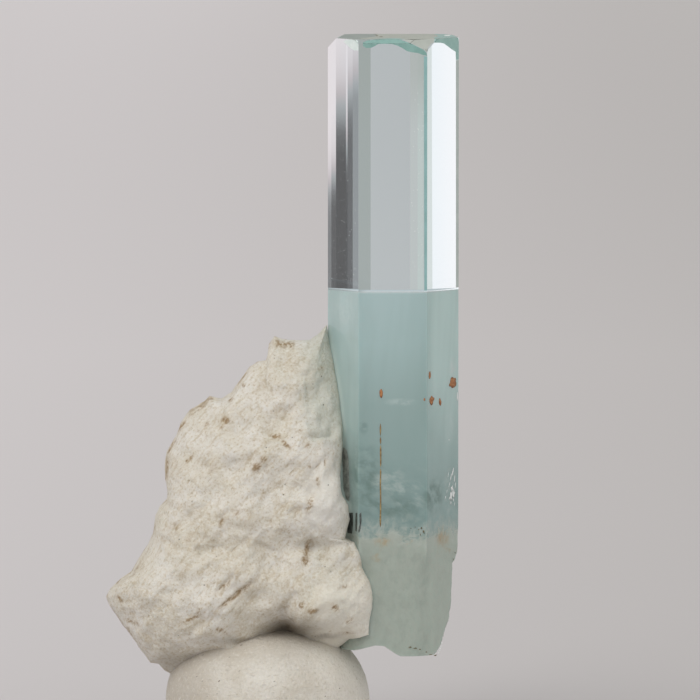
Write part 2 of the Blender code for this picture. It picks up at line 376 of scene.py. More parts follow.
class Recipe:
    """Node-by-node writer for one Principled material."""

    def __init__(self, name: str) -> None:
        """Start an empty material with a Principled shader."""
        self.material = bpy.data.materials.new(name)
        self.material.use_nodes = True
        self.tree = self.material.node_tree
        self.shader = self.tree.nodes["Principled BSDF"]
        self.output = self.tree.nodes["Material Output"]

    def node(self, kind: str, inputs: dict, **settings: str) -> bpy.types.Node:
        """Add a node.

        Args:
            kind: the node's type name.
            inputs: a value or a link for each input, by name or number.
            settings: properties of the node.

        Returns:
            The new node.
        """
        made = self.tree.nodes.new(kind)
        for key, setting in settings.items():
            setattr(made, key, setting)
        for key, value in inputs.items():
            self.feed(made.inputs[key], value)
        return made

    def feed(self, socket: Socket, value: Value) -> None:
        """Link a socket to an output, or give it a plain value.

        Args:
            socket: the input to fill.
            value: an output socket, a number, a vector or a colour.
        """
        if isinstance(value, Socket):
            self.tree.links.new(value, socket)
        elif socket.type == "RGBA":
            socket.default_value = (*value, 1.0)
        else:
            socket.default_value = value

    def set(self, **sockets: Value) -> bpy.types.Material:
        """Set or link sockets of the shader.

        Args:
            sockets: values by socket name, with _ for a space.

        Returns:
            The material.
        """
        for name, value in sockets.items():
            self.feed(self.shader.inputs[name.replace("_", " ")], value)
        return self.material

    def place(self, turn: tuple = (0.0, 0.0, 0.0), scale: tuple = (1.0, 1.0, 1.0)) -> Socket:
        """Object coordinates in millimetres, turned in degrees, then stretched."""
        coords = self.node("ShaderNodeTexCoord", {}).outputs["Object"]
        first = self.node("ShaderNodeMapping", {
            "Vector": coords, "Rotation": [math.radians(a) for a in turn],
            "Scale": (1 / MM, 1 / MM, 1 / MM)}, vector_type="POINT")
        second = self.node("ShaderNodeMapping", {"Vector": first.outputs[0], "Scale": scale},
                           vector_type="POINT")
        return second.outputs[0]

    def leaned(self, angle: float, stretch: float) -> Socket:
        """Coordinates leaned in the front view, then scaled along the lean."""
        return self.place((0.0, angle, 0.0), (stretch, 1.0, 1.0))

    def noise(self, vector: Socket, size: float, detail: float = 3.0, rough: float = 0.5,
              warp: float = 0.0) -> Socket:
        """Noise whose features are about size millimetres wide."""
        return self.node("ShaderNodeTexNoise", {
            "Vector": vector, "Scale": 1.0 / size, "Detail": detail, "Roughness": rough,
            "Distortion": warp}, noise_dimensions="3D").outputs["Fac"]

    def cells(self, vector: Socket, size: float) -> Socket:
        """Distance to scattered points about size millimetres apart."""
        return self.node("ShaderNodeTexVoronoi", {
            "Vector": vector, "Scale": 1.0 / size}, feature="F1").outputs["Distance"]

    def axis(self, vector: Socket, name: str) -> Socket:
        """One component of a vector."""
        return self.node("ShaderNodeSeparateXYZ", {0: vector}).outputs[name]

    def attribute(self, name: str) -> Socket:
        """Number stored on the piece's vertices."""
        return self.node("ShaderNodeAttribute", {}, attribute_name=name).outputs["Fac"]

    def spread(self, value: Value, low: float, high: float, to_low: float = 0.0,
               to_high: float = 1.0, curve: str = "SMOOTHSTEP") -> Socket:
        """Step of a value between two levels, soft unless the curve says LINEAR."""
        return self.node("ShaderNodeMapRange", {
            "Value": value, "From Min": low, "From Max": high, "To Min": to_low,
            "To Max": to_high}, interpolation_type=curve).outputs["Result"]

    def reach(self, vector: Socket) -> Socket:
        """Length of a vector."""
        return self.node("ShaderNodeVectorMath", {0: vector}, operation="LENGTH").outputs["Value"]

    def blob(self, vector: Socket, x: float, z: float, wide: float, high: float) -> Socket:
        """Soft patch seen from the front: 1 at (x, z), 0 at the half sizes."""
        moved = self.node("ShaderNodeVectorMath", {0: vector, 1: (x, 0.0, z)},
                          operation="SUBTRACT")
        shrunk = self.node("ShaderNodeVectorMath", {
            0: moved.outputs[0], 1: (1.0 / wide, 0.0, 1.0 / high)}, operation="MULTIPLY")
        return self.spread(self.reach(shrunk.outputs[0]), 1.0, 0.25)

    def blobs(self, vector: Socket, patches: tuple) -> Socket:
        """Sum of blobs, each given as (x, z, wide, high) and perhaps a strength."""
        return self.sum(*(self.product(self.blob(vector, *size[:4]), *size[4:])
                          for size in patches))

    def sum(self, *values: Value) -> Value:
        """Sum of values."""
        return self.chain("ADD", values)

    def product(self, *values: Value) -> Value:
        """Product of values."""
        return self.chain("MULTIPLY", values)

    def chain(self, operation: str, values: tuple) -> Value:
        """Fold values together with one maths operation."""
        total = values[0]
        for value in values[1:]:
            total = self.node("ShaderNodeMath", {0: total, 1: value},
                              operation=operation).outputs[0]
        return total

    def ramp(self, value: Value, stops: list[tuple[float, Colour]]) -> Socket:
        """Colour along a row of (position, colour) stops.

        Args:
            value: position along the row, from 0 to 1.
            stops: the row, in order.

        Returns:
            The colour there.
        """
        made = self.node("ShaderNodeValToRGB", {0: value})
        line = made.color_ramp.elements
        while len(line) < len(stops):
            line.new(1.0)
        for element, (position, colour) in zip(line, stops):
            element.position = position
            element.color = (*colour, 1.0)
        return made.outputs["Color"]

    def mix(self, share: Value, first: Value, second: Value, blend: str = "MIX") -> Socket:
        """Blend of two colours."""
        return self.node("ShaderNodeMix", {0: share, 6: first, 7: second}, data_type="RGBA",
                         blend_type=blend).outputs[2]

    def coat(self, colour: Value, *coats: tuple[Value, Colour]) -> Socket:
        """Colour with others laid over it.

        Args:
            colour: the colour underneath.
            coats: the share, from 0 to 1, and the colour of each coat in turn.

        Returns:
            The colour on top.
        """
        for share, over in coats:
            colour = self.mix(share, colour, over)
        return colour

    def bump(self, height: Value, distance: float, strength: float = 1.0) -> Socket:
        """Normal tilted by a height in units of distance millimetres."""
        return self.node("ShaderNodeBump", {
            "Strength": strength, "Distance": distance * MM, "Height": height}).outputs["Normal"]

    def scatter(self, weight: float, radius: Colour, scale: float) -> None:
        """Let light soak in: weight, relative radii and scale in millimetres."""
        self.set(Subsurface_Weight=weight, Subsurface_Radius=radius,
                 Subsurface_Scale=scale * MM)


@dataclass(frozen=True)
class ClearBeryl:
    """Clear, pale blue-green crystal that colours light by its depth."""

    density: float = 18.0
    absorbed: Colour = (0.01, 0.71, 0.905)

    def make(self) -> bpy.types.Material:
        """Glass with plain volume absorption."""
        r = Recipe("clear_beryl")
        volume = r.node("ShaderNodeVolumeAbsorption",
                        {"Color": self.absorbed, "Density": self.density})
        r.feed(r.output.inputs["Volume"], volume.outputs[0])
        return r.set(Base_Color=(1.0, 1.0, 1.0), Roughness=0.0, IOR=BERYL_IOR,
                     Transmission_Weight=1.0)


@dataclass(frozen=True)
class CloudyBeryl:
    """Milky lower crystal: aqua haze, wisps, dark veils and a frosted foot.

    Its side faces carry painted light, its top rim and right edge painted
    highlights, and the strip beside the rock a painted glow.
    """

    top_level: float = 33.04
    foot_level: float = 6.66
    haze: tuple = ((0.30, tone(132, 158, 155)), (0.41, tone(135, 160, 158)),
                   (0.55, tone(148, 173, 171)), (0.68, tone(154, 178, 176)),
                   (0.85, tone(172, 197, 197)), (0.97, tone(177, 201, 202)))
    shade: Colour = tone(130, 156, 152)
    veil: Colour = tone(100, 127, 120)
    frost: Colour = tone(171, 181, 171)
    frost_shade: Colour = tone(155, 166, 157)
    # Painted light on the frosted right face.
    painted_frost_light: Colour = tone(190, 201, 190)
    frost_rim: Colour = tone(196, 202, 194)
    # Painted light on the left and right side faces.
    painted_left_light: Colour = tone(196, 216, 214)
    painted_right_light: Colour = tone(200, 225, 222)
    # Painted highlight along the top rim, where the crystal turns milky.
    top_rim_highlight: Colour = tone(214, 226, 228)
    # Pale milky patches, and a painted highlight by the right edge.
    mist_and_highlight: Colour = tone(216, 229, 227)
    # Pale wisps; this colour also paints the light beside the rock.
    wisp_and_glow: Colour = tone(190, 204, 200)
    # Colour of the painted glow beside the rock.
    painted_glow: Colour = tone(136, 147, 142)
    tan: Colour = tone(176, 162, 132)
    # Where they lie: (x, z, half-width, half-height) and perhaps a strength.
    # The first of these places is a painted highlight by the right edge.
    mist_and_highlight_places: tuple = ((12.35, 27.2, 0.35, 1.1), (4.6, 31.5, 1.3, 1.6, 0.35),
                          (8.6, 25.0, 1.5, 0.35, 0.4), (12.1, 23.0, 0.5, 1.8, 0.35))
    dark_places: tuple = ((6.0, 19.8, 1.6, 3.2), (7.8, 17.4, 2.8, 1.0), (10.9, 18.2, 1.0, 1.6))
    pale_places: tuple = ((9.2, 18.2, 1.5, 1.5), (7.6, 19.4, 1.6, 1.6), (12.1, 18.4, 0.6, 2.6))
    tan_places: tuple = ((7.3, 14.9, 0.9, 0.5), (11.6, 15.0, 0.7, 1.1))
    smear_place: tuple = (5.9, 23.2, 0.45, 0.7)

    def make(self) -> bpy.types.Material:
        """Diffuse haze coloured by height, under a glossy crystal surface."""
        r = Recipe("cloudy_beryl")
        p = r.place()
        x, z = r.axis(p, "X"), r.axis(p, "Z")
        # Share of the painted light and glow beside the rock.
        near = r.attribute("painted_glow_share")
        haze = r.ramp(r.spread(z, self.foot_level, self.top_level, curve="LINEAR"),
                      list(self.haze))
        drift = r.noise(r.leaned(30.0, 0.7), 0.5, 4.0, 0.65, 0.2)
        large = r.noise(r.place(scale=(1.0, 1.0, 0.22)), 3.2, 3.0, 0.55, 0.4)
        soft = r.noise(r.leaned(-20.0, 0.7), 0.9, 4.0, 0.6, 0.25)
        fine = r.noise(r.leaned(-22.0, 0.55), 0.62, 5.0, 0.62, 0.2)
        fibre = r.noise(r.leaned(24.0, 0.55), 0.7, 4.0, 0.65, 0.6)
        grain = r.noise(r.place(scale=(1.0, 1.0, 0.7)), 0.55, 5.0, 0.65)
        edge = r.sum(z, r.product(fibre, 2.8))
        frosted = r.spread(edge, 17.2, 16.3)
        border = r.product(r.spread(edge, 18.3, 17.0), r.spread(edge, 15.6, 16.6))
        dark_zone = r.sum(r.blobs(p, self.dark_places), r.product(r.spread(z, 22.0, 17.0), 0.25))
        pale_zone = r.sum(r.blobs(p, self.pale_places), r.product(r.spread(z, 23.0, 17.5), 0.25))
        tan_zone = r.sum(r.blobs(p, self.tan_places),
                         r.product(r.spread(r.noise(p, 1.3, 3.0, 0.5), 0.60, 0.72),
                                   r.spread(z, 11.0, 14.0), frosted))
        colour = r.coat(
            haze,
            # Painted light on the left and right side faces.
            (r.product(r.spread(x, 5.62, 5.45), 0.42), self.painted_left_light),
            (r.product(r.spread(x, 10.38, 10.56), r.spread(z, 19.0, 28.0, 0.30, 1.0)),
             self.painted_right_light),
            # Painted highlight along the top rim.
            (r.product(r.spread(z, 32.74, 32.90), r.spread(x, 4.6, 6.4, 0.3, 1.0), 0.8),
             self.top_rim_highlight),
            # Pale milky patches, and a painted highlight by the right edge.
            (r.product(r.blobs(p, self.mist_and_highlight_places), r.spread(drift, 0.36, 0.62, 0.25, 1.0),
                       0.8), self.mist_and_highlight),
            (r.product(r.blob(p, *self.smear_place), r.spread(drift, 0.40, 0.60), 0.45),
             self.veil),
            (r.spread(large, 0.35, 0.75, 0.0, 0.35), self.shade),
            (r.product(r.spread(soft, 0.30, 0.64), dark_zone, 0.62), self.veil),
            (r.product(r.spread(fine, 0.44, 0.70), pale_zone, 0.45), self.wisp_and_glow),
            (frosted, self.frost),
            (r.product(frosted, r.spread(grain, 0.40, 0.72, 0.0, 0.55)), self.frost_shade),
            # Painted light on the frosted right face.
            (r.product(frosted, r.spread(x, 10.1, 10.9), 0.55), self.painted_frost_light),
            (r.product(border, r.spread(grain, 0.40, 0.60, 0.1, 0.5)), self.frost_rim),
            (r.product(tan_zone, r.spread(grain, 0.35, 0.6), 0.7), self.tan),
            # Painted light beside the rock.
            (r.product(near, 0.6), self.wisp_and_glow))
        relief = r.product(r.noise(p, 0.34, 4.0, 0.6), frosted, 0.42)
        striae = r.product(r.noise(r.place(scale=(1.0, 1.0, 0.01)), 0.18, 3.0, 0.6), 0.06)
        r.scatter(0.35, (0.8, 1.2, 1.2), 0.9)
        # The emission is a painted glow beside the rock.
        return r.set(Base_Color=colour, Roughness=r.spread(frosted, 0.0, 1.0, 0.10, 0.50),
                     IOR=BERYL_IOR, Emission_Color=self.painted_glow,
                     Emission_Strength=r.product(near, 0.30),
                     Normal=r.bump(r.sum(relief, striae), 0.08, 0.9))


@dataclass(frozen=True)
class CloudTop:
    """Inner face where the clear crystal turns milky.

    It glows with painted light: brightest along its front edge, dim on the left and
    white on the right.
    """

    colour: Colour = tone(60, 68, 70)
    back: Colour = tone(182, 188, 190)
    front: Colour = tone(206, 213, 216)
    left: Colour = tone(150, 160, 161)
    right: Colour = (0.98, 1.0, 1.02)

    def make(self) -> bpy.types.Material:
        """Plain diffuse haze with no gloss, and an emission as painted light."""
        r = Recipe("cloud_top")
        p = r.place()
        x, y = r.axis(p, "X"), r.axis(p, "Y")
        light = r.coat(self.back, (r.spread(y, 3.5, -3.6), self.front),
                       (r.spread(x, 6.3, 5.2), self.left),
                       (r.spread(x, 10.40, 10.50), self.right))
        return r.set(Base_Color=self.colour, Emission_Color=light, Emission_Strength=1.0,
                     Roughness=1.0, Specular_IOR_Level=0.0)


@dataclass(frozen=True)
class Feldspar:
    """Sugary cream feldspar with diagonal streaks, brown stains and sparkle.

    A patch on its right side is painted lighter, and its hollows carry painted shade.
    """

    grain_lean: float = 48.0
    cream: Colour = tone(238, 232, 217)
    white: Colour = tone(249, 245, 236)
    buff: Colour = tone(210, 196, 170)
    tan: Colour = tone(204, 182, 144)
    brown: Colour = tone(168, 138, 96)
    rust: Colour = tone(118, 90, 60)
    # Dark specks, and the painted shade in the hollows.
    dark: Colour = tone(96, 80, 60)
    clear: Colour = tone(200, 208, 196)
    sugar_shade: Colour = tone(207, 192, 164)
    sugar_light: Colour = tone(251, 248, 240)
    # Painted light on the right side of the lump.
    painted_light: Colour = tone(254, 251, 243)
    under: Colour = tone(255, 250, 236)
    glint: Colour = tone(252, 252, 250)

    def make(self) -> bpy.types.Material:
        """Colour, roughness and bump from noise and the piece's stain marks."""
        r = Recipe("sugary_feldspar")
        p = r.place()
        streak = r.leaned(self.grain_lean, 0.20)
        stain = r.attribute("stain")
        broad = r.noise(p, 3.2, 3.0, 0.55)
        lines = r.noise(streak, 0.50, 5.0, 0.62, 0.3)
        fibres = r.noise(streak, 0.24, 4.0, 0.66, 0.3)
        lumps = r.noise(p, 0.55, 4.0, 0.65)
        sugar = r.noise(p, 0.19, 3.0, 0.72)
        speck = r.noise(r.leaned(self.grain_lean, 0.5), 0.22, 5.0, 0.74, 0.3)
        low = r.product(r.spread(r.axis(p, "Z"), 13.0, 11.5), r.spread(r.axis(p, "X"), 1.6, 3.4))
        pit = r.product(r.spread(r.cells(streak, 0.62), 0.14, 0.04),
                        r.spread(r.noise(streak, 1.8, 3.0, 0.6), 0.46, 0.60))
        dots = r.product(r.spread(r.cells(p, 0.85), 0.075, 0.035),
                         r.spread(r.noise(p, 1.3, 2.0, 0.5), 0.48, 0.56))
        glint = r.product(r.spread(r.cells(p, 0.75), 0.085, 0.04),
                          r.spread(r.noise(p, 1.7, 2.0, 0.5), 0.55, 0.62))
        worn = r.product(stain, r.spread(speck, 0.38, 0.56))
        colour = r.coat(
            self.cream,
            (r.spread(broad, 0.38, 0.64), self.white),
            (r.spread(lines, 0.50, 0.68, 0.0, 0.60), self.buff),
            (r.spread(fibres, 0.54, 0.68, 0.0, 0.32), self.tan),
            (r.spread(lumps, 0.52, 0.74, 0.0, 0.45), self.buff),
            (r.spread(lumps, 0.46, 0.26, 0.0, 0.55), self.white),
            (r.spread(sugar, 0.52, 0.68, 0.0, 0.75), self.sugar_shade),
            (r.spread(sugar, 0.48, 0.32, 0.0, 0.85), self.sugar_light),
            (r.product(r.attribute("cool"), 0.48), self.clear),
            # Painted light on the right side of the lump.
            (r.product(r.blob(p, 3.0, 18.2, 2.4, 4.2), 0.7), self.painted_light),
            (r.product(low, 0.7), self.under),
            (r.product(stain, 0.35), self.tan),
            (r.spread(worn, 0.08, 0.62, 0.0, 0.80), self.brown),
            (r.product(stain, r.spread(speck, 0.54, 0.64), 0.7), self.rust),
            (r.product(pit, 0.45), self.tan),
            (r.product(dots, 0.9), self.dark),
            (glint, self.glint),
            # Painted shade in the hollows under the lump.
            (r.attribute("hollow_shade"), self.dark))
        height = r.sum(r.product(r.noise(p, 0.20, 5.0, 0.74), 1.7), r.product(lumps, 0.9),
                       r.product(lines, -0.8), r.product(fibres, -0.55),
                       r.product(pit, -0.8), r.product(dots, -0.6))
        sparkle = r.spread(r.noise(p, 0.10, 2.0, 0.6), 0.62, 0.74, 0.75, 0.28)
        r.scatter(0.15, (1.0, 0.9, 0.75), 0.4)
        return r.set(Base_Color=colour, Roughness=sparkle, Normal=r.bump(height, 0.105))


@dataclass(frozen=True)
class Putty:
    """Smooth cream putty with thumb marks, fine scratches and dust.

    It is painted darker on its left and on its top under the rock, where
    shade falls, and painted lighter on its right.
    """

    colour: Colour = tone(236, 232, 222)
    shade: Colour = tone(220, 213, 199)
    # Painted shade for the left and the top under the rock; painted light for the right.
    left: Colour = tone(203, 195, 182)
    right: Colour = tone(242, 237, 226)
    sand_dark: Colour = tone(196, 187, 168)
    sand_light: Colour = tone(249, 245, 237)
    fleck: Colour = tone(96, 84, 66)

    def make(self) -> bpy.types.Material:
        """Soft waxy surface with arcs of fingerprint ridges."""
        r = Recipe("mineral_putty")
        p = r.place()
        x, z = r.axis(p, "X"), r.axis(p, "Z")
        sand = r.noise(p, 0.22, 4.0, 0.7)
        stroke = r.place(turn=(0.0, 12.0, 8.0), scale=(0.16, 0.5, 1.0))
        scratch = r.spread(r.noise(stroke, 0.16, 3.0, 0.6, 0.5), 0.64, 0.72)
        flecks = r.spread(r.cells(r.leaned(25.0, 0.4), 0.50), 0.12, 0.05)
        kept = r.spread(r.noise(p, 0.9, 2.0, 0.5), 0.50, 0.58)
        colour = r.coat(
            self.colour,
            (r.spread(r.noise(p, 2.6, 3.0, 0.5), 0.35, 0.7), self.shade),
            # Painted shade on the left and on the top under the rock; painted light on the right.
            (r.spread(x, -3.2, -7.0, 0.0, 0.85), self.left),
            (r.product(r.spread(z, 5.2, 8.0, 0.0, 0.75), r.spread(x, 3.4, 0.8)), self.left),
            (r.spread(x, 1.6, 3.6, 0.0, 0.8), self.right),
            (r.spread(sand, 0.50, 0.72, 0.0, 0.50), self.sand_dark),
            (r.spread(sand, 0.47, 0.28, 0.0, 0.55), self.sand_light),
            (r.product(scratch, 0.35), self.shade),
            (r.product(flecks, kept, 0.9), self.fleck))
        ridges = r.node("ShaderNodeTexWave", {
            "Vector": p, "Scale": 0.75, "Distortion": 1.6, "Detail Scale": 0.25},
            wave_type="RINGS", rings_direction="SPHERICAL")
        worn = r.spread(r.noise(p, 2.4, 2.0, 0.5), 0.45, 0.62)
        height = r.sum(r.product(ridges.outputs["Fac"], worn, 0.18), r.product(scratch, -0.45),
                       r.product(r.noise(p, 0.5, 4.0, 0.5), 0.8), r.product(sand, 1.9))
        r.scatter(0.15, (1.0, 0.85, 0.65), 0.6)
        return r.set(Base_Color=colour, Roughness=0.6, Normal=r.bump(height, 0.09, 0.9))


@dataclass(frozen=True)
class MarkFinish:
    """Finish of the small marks on the crystal: two tones mixed by a noise."""

    name: str
    first: Colour
    second: Colour
    grain: float = 0.25
    roughness: float = 0.5

    def make(self) -> bpy.types.Material:
        """Mottled surface."""
        r = Recipe(self.name)
        mottle = r.spread(r.noise(r.place(), self.grain, 4.0, 0.6), 0.35, 0.65)
        return r.set(Base_Color=r.mix(mottle, self.first, self.second),
                     Roughness=self.roughness)


# ---------------------------------------------------------------- crystal


class Side(Enum):
    """Side faces that carry marks, by the corners at their left and right."""

    FRONT = ("front_left", "front_right")
    RIGHT_FRONT = ("front_right", "right")
    LEFT_FRONT = ("left", "front_left")


@dataclass
class BerylPrism:
    """Long crystal: clear above, milky below, broken at the foot.

    The front half of the plan is half a hexagon. The back is rounded by narrow
    faces, and the left front face is bent a little between growth steps.
    """

    plan: dict = field(default_factory=lambda: {
        "left": (3.34, -0.04), "step_1": (3.591, -0.541), "step_2": (3.924, -1.174),
        "step_3": (4.642, -2.459), "step_4": (4.759, -2.658), "step_5": (5.123, -3.249),
        "front_left": (5.536, -3.89), "front_right": (10.44, -3.89), "right": (12.74, 0.09),
        "right_shoulder": (12.36, 3.30), "back_right_2": (11.75, 4.50),
        "back_right": (10.85, 4.89), "back_left": (5.20, 4.89), "back_left_2": (4.42, 4.38),
        "left_shoulder": (3.80, 2.95)})
    axis: Pair = (8.03, 0.50)
    top: float = 50.943
    bottom: float = 6.66
    cloud_level: float = 32.92
    cloud_tilt: float = 0.034
    cloud_front: float = -3.9
    overlap: float = 0.012
    inset: float = 0.004
    # Faces at the top: a point (x, y, depth below the top), compass and slope.
    top_faces: list = field(default_factory=lambda: [
        (3.97, -1.25, 0.0, 174.5, 45.0), (10.44, -3.89, 0.78, -64.0, 47.0),
        (5.536, -3.89, 0.28, -120.0, 45.0), (12.74, 0.09, 0.06, 0.0, 45.0),
        (5.20, 4.89, 0.10, 120.0, 45.0), (10.85, 4.89, 0.10, 60.0, 45.0),
        (8.03, -3.89, 0.28, -90.0, 60.0)])
    # Right edge of the rock where it meets the crystal, as (z, x).
    rock_edge: list = field(default_factory=lambda: [
        (7.4, -9.0), (7.8, 4.5), (8.2, 6.3), (10.3, 6.5), (11.3, 6.5), (12.1, 6.3),
        (13.1, 5.8), (14.4, 5.5), (14.9, 5.25), (15.1, 4.6), (16.5, 4.9), (17.5, 4.8),
        (18.8, 4.2), (20.8, 4.3), (23.0, 4.4), (24.8, 4.2), (26.2, 4.0), (27.7, 3.7),
        (28.8, 3.5), (30.2, 3.25), (30.5, 0.0)])
    # Right outline of the broken foot, as (z, x), and its lower outline, as (x, z).
    # Each lies in the plane y = 0 turned about the axis.
    break_right: list = field(default_factory=lambda: [
        (6.6, 10.15), (7.61, 10.82), (8.99, 11.55), (9.69, 11.78), (11.85, 11.88),
        (12.84, 12.0), (13.7, 12.5), (15.0, 13.2), (16.0, 14.0)])
    break_low: list = field(default_factory=lambda: [
        (2.0, 6.8), (5.75, 7.0), (7.45, 7.45), (8.05, 7.4), (8.95, 6.8), (9.25, 6.66),
        (14.0, 6.66)])
    right_turn: float = 15.0
    low_turn: float = -9.0
    # The foot: its middle from the axis, and heights between which it is
    # eased and roughened (each from nothing to full).
    foot_shift: Pair = (-0.2, 0.0)
    foot_rounding: int = 8
    ease_heights: Pair = (14.4, 12.4)
    rough_heights: Pair = (15.9, 14.7)
    foot_rings: int = 26
    foot_relief: float = 0.10
    lid_scale: float = 0.5
    # Painted light and glow on the milky crystal beside the rock, against the
    # rock's shade: reach, and heights between which it grows from its share
    # low down to full.
    glow_reach: float = 0.42
    glow_low: float = 0.45
    glow_heights: Pair = (15.0, 17.5)
    sharp: float = 24.0
    step: float = 0.17
    mean_radius: float = 4.5

    def side_planes(self) -> tuple[np.ndarray, np.ndarray]:
        """Normals and offsets of the side faces, one for each side of the plan."""
        corners = np.array(list(self.plan.values()))
        run = np.roll(corners, -1, axis=0) - corners
        normals = np.stack([run[:, 1], -run[:, 0], 0 * run[:, 0]], axis=-1)
        normals /= np.linalg.norm(normals, axis=1, keepdims=True)
        return normals, np.sum(normals[:, :2] * corners, axis=1)

    def planes(self) -> tuple[np.ndarray, np.ndarray]:
        """Normals and offsets of the sides, the flat top, its corners and bevels."""
        sides, reach = self.side_planes()
        normals, offsets = [UP], [self.top]
        for x, y, drop, angle, slope in self.top_faces:
            normals.append(compass(angle, slope))
            offsets.append(normals[-1] @ np.array([x, y, self.top - drop]))
        return np.concatenate([sides, normals]), np.concatenate([reach, offsets])

    def face(self, side: Side) -> tuple[np.ndarray, np.ndarray]:
        """Middle of a side face in plan and its outward normal, both with z 0."""
        left, right = (np.array(self.plan[name]) for name in side.value)
        run = (right - left) / np.linalg.norm(right - left)
        return np.append((left + right) / 2, 0.0), np.array([run[1], -run[0], 0.0])

    def drape(self, x: np.ndarray, z: np.ndarray) -> np.ndarray:
        """Depth of the crystal's front: the deepest front plane at each point.

        Args:
            x, z: points seen from the front.

        Returns:
            y at each point.
        """
        normals, offsets = self.planes()
        facing = normals[:, 1] < -0.01
        normals, offsets = normals[facing], offsets[facing]
        y = (offsets - x[..., None] * normals[:, 0] - z[..., None] * normals[:, 2]) / normals[:, 1]
        return y.max(axis=-1)

    def clear_part(self) -> bpy.types.Object:
        """Clear upper crystal with exact flat faces, closed below by a sloping plane."""
        normals, offsets = self.planes()
        down = np.array([0.0, -self.cloud_tilt, -1.0]) / math.hypot(1.0, self.cloud_tilt)
        base = down @ np.array([0.0, self.cloud_front, self.cloud_level - self.overlap])
        points, faces = convex_body(np.vstack([normals, down]), np.append(offsets, base))
        return solid_mesh("clear_crystal", points, faces, [ClearBeryl().make()], smooth=False)

    def outline(self) -> np.ndarray:
        """Plan outline in small steps, with a point at every edge."""
        corners = np.array(list(self.plan.values()))
        ring = corners + (np.array(self.axis) - corners) * (self.inset / self.mean_radius)
        rows = []
        for start, end in zip(ring, np.roll(ring, -1, axis=0)):
            count = max(1, round(float(np.linalg.norm(end - start)) / self.step))
            rows.append(start + (end - start) * (np.arange(count)[:, None] / count))
        return np.concatenate(rows)

    def cloud_height(self, y: np.ndarray) -> np.ndarray:
        """Height where the crystal turns milky: it falls towards the back."""
        return self.cloud_level - self.cloud_tilt * (y - self.cloud_front)

    def foot_level(self, place: np.ndarray) -> np.ndarray:
        """Height of the broken underside at places (x, y)."""
        across = self.axis[0] + (place - np.array(self.axis)) @ compass(self.low_turn)[:2]
        return np.interp(across, *zip(*self.break_low))

    def wall(self, centre: np.ndarray) -> np.ndarray:
        """Rings of the milky crystal's side, from its top down to the foot.

        The wall at height z follows the plan outline, drawn in to the broken
        right side, where the distance along its turned direction is at most
        limit(z). Low down the outline is eased by averaging each point with
        its neighbours, and roughened by layered noise.

        Args:
            centre: the foot's middle (x, y).

        Returns:
            Points, shape (rings, points in a ring, 3).
        """
        plan = self.outline()
        high, low = self.cloud_height(plan[:, 1]), self.foot_level(plan)
        rows = round((self.cloud_level - self.bottom) / self.step)
        z = high + (low - high) * np.linspace(0.0, 1.0, rows)[:, None]
        eased = ring_average(plan, self.foot_rounding)
        arm = plan + (eased - plan) * smooth_step(*self.ease_heights, z)[..., None] - centre
        seat = np.concatenate([arm + centre, z[..., None]], axis=-1)
        wobble = layered_noise(seat * np.array([0.9, 0.9, 0.6]), 4, Seed.FOOT_WALL)
        way = compass(self.right_turn)[:2]
        limit = np.interp(z + 0.35 * wobble, *zip(*self.break_right)) + 0.08 * wobble
        room = limit - self.axis[0] - (centre - np.array(self.axis)) @ way
        reach = arm @ way
        scale = np.where(reach > 0.3, np.minimum(1.0, room / np.maximum(reach, 1e-3)), 1.0)
        rough = smooth_step(*self.rough_heights, z) * (0.03 + 0.05 * np.abs(wobble))
        scale = scale - rough / np.linalg.norm(arm, axis=-1)
        return np.concatenate([centre + arm * scale[..., None], z[..., None]], axis=-1)

    def underside(self, rim: np.ndarray, centre: np.ndarray) -> np.ndarray:
        """Rings of the broken foot: a height that depends on the place, plus noise.

        Args:
            rim: the wall's lowest ring in plan, (x, y).
            centre: the foot's middle (x, y).

        Returns:
            Points, shape (rings, points in a ring, 3).
        """
        inner = np.linspace(1.0, 0.04, self.foot_rings)[1:, None]
        foot = centre + (rim - centre) * inner[..., None]
        level = self.foot_level(foot)
        seat = np.concatenate([foot, 0 * level[..., None]], axis=-1)
        grain = np.abs(layered_noise(seat * 1.4, 4, Seed.FOOT_UNDERSIDE))
        level = np.maximum(level + self.foot_relief * grain * (1.0 - inner ** 6), self.bottom)
        return np.concatenate([foot, level[..., None]], axis=-1)

    def glow(self, p: np.ndarray) -> np.ndarray:
        """Share of the painted glow, against the rock's shade, at points of the milky crystal."""
        edge = np.interp(p[..., 2], *zip(*self.rock_edge))
        near = smooth_step(self.glow_reach, 0.0, p[..., 0] - edge) * (p[..., 1] < 0.3)
        grown = smooth_step(*self.glow_heights, p[..., 2])
        return near * (self.glow_low + (1.0 - self.glow_low) * grown)

    def cloudy_part(self) -> bpy.types.Object:
        """Milky lower crystal: a lid, the wall and the broken underside."""
        centre = np.array(self.axis) + np.array(self.foot_shift)
        wall = self.wall(centre)
        inner = centre + (wall[:1, :, :2] - centre) * self.lid_scale
        lid = np.concatenate([inner, self.cloud_height(inner[..., 1:])], axis=-1)
        rings = np.concatenate([lid, wall, self.underside(wall[-1, :, :2], centre)])
        made = closed_mesh("cloudy_crystal", rings, [CloudyBeryl().make(), CloudTop().make()],
                           self.sharp)
        # Painted light and glow beside the rock.
        paint(made, "painted_glow_share", self.glow(rings))
        level = np.array([f.normal.z > 0.99 for f in made.data.polygons])
        made.data.polygons.foreach_set("material_index", level.astype(np.int32))
        return made


@dataclass(frozen=True)
class Mark:
    """Small patch on a face: place as (x, z), half sizes, and lean in degrees."""

    side: Side
    x: float
    z: float
    half_width: float
    half_height: float
    lean: float = 0.0
    ragged: float = 0.25


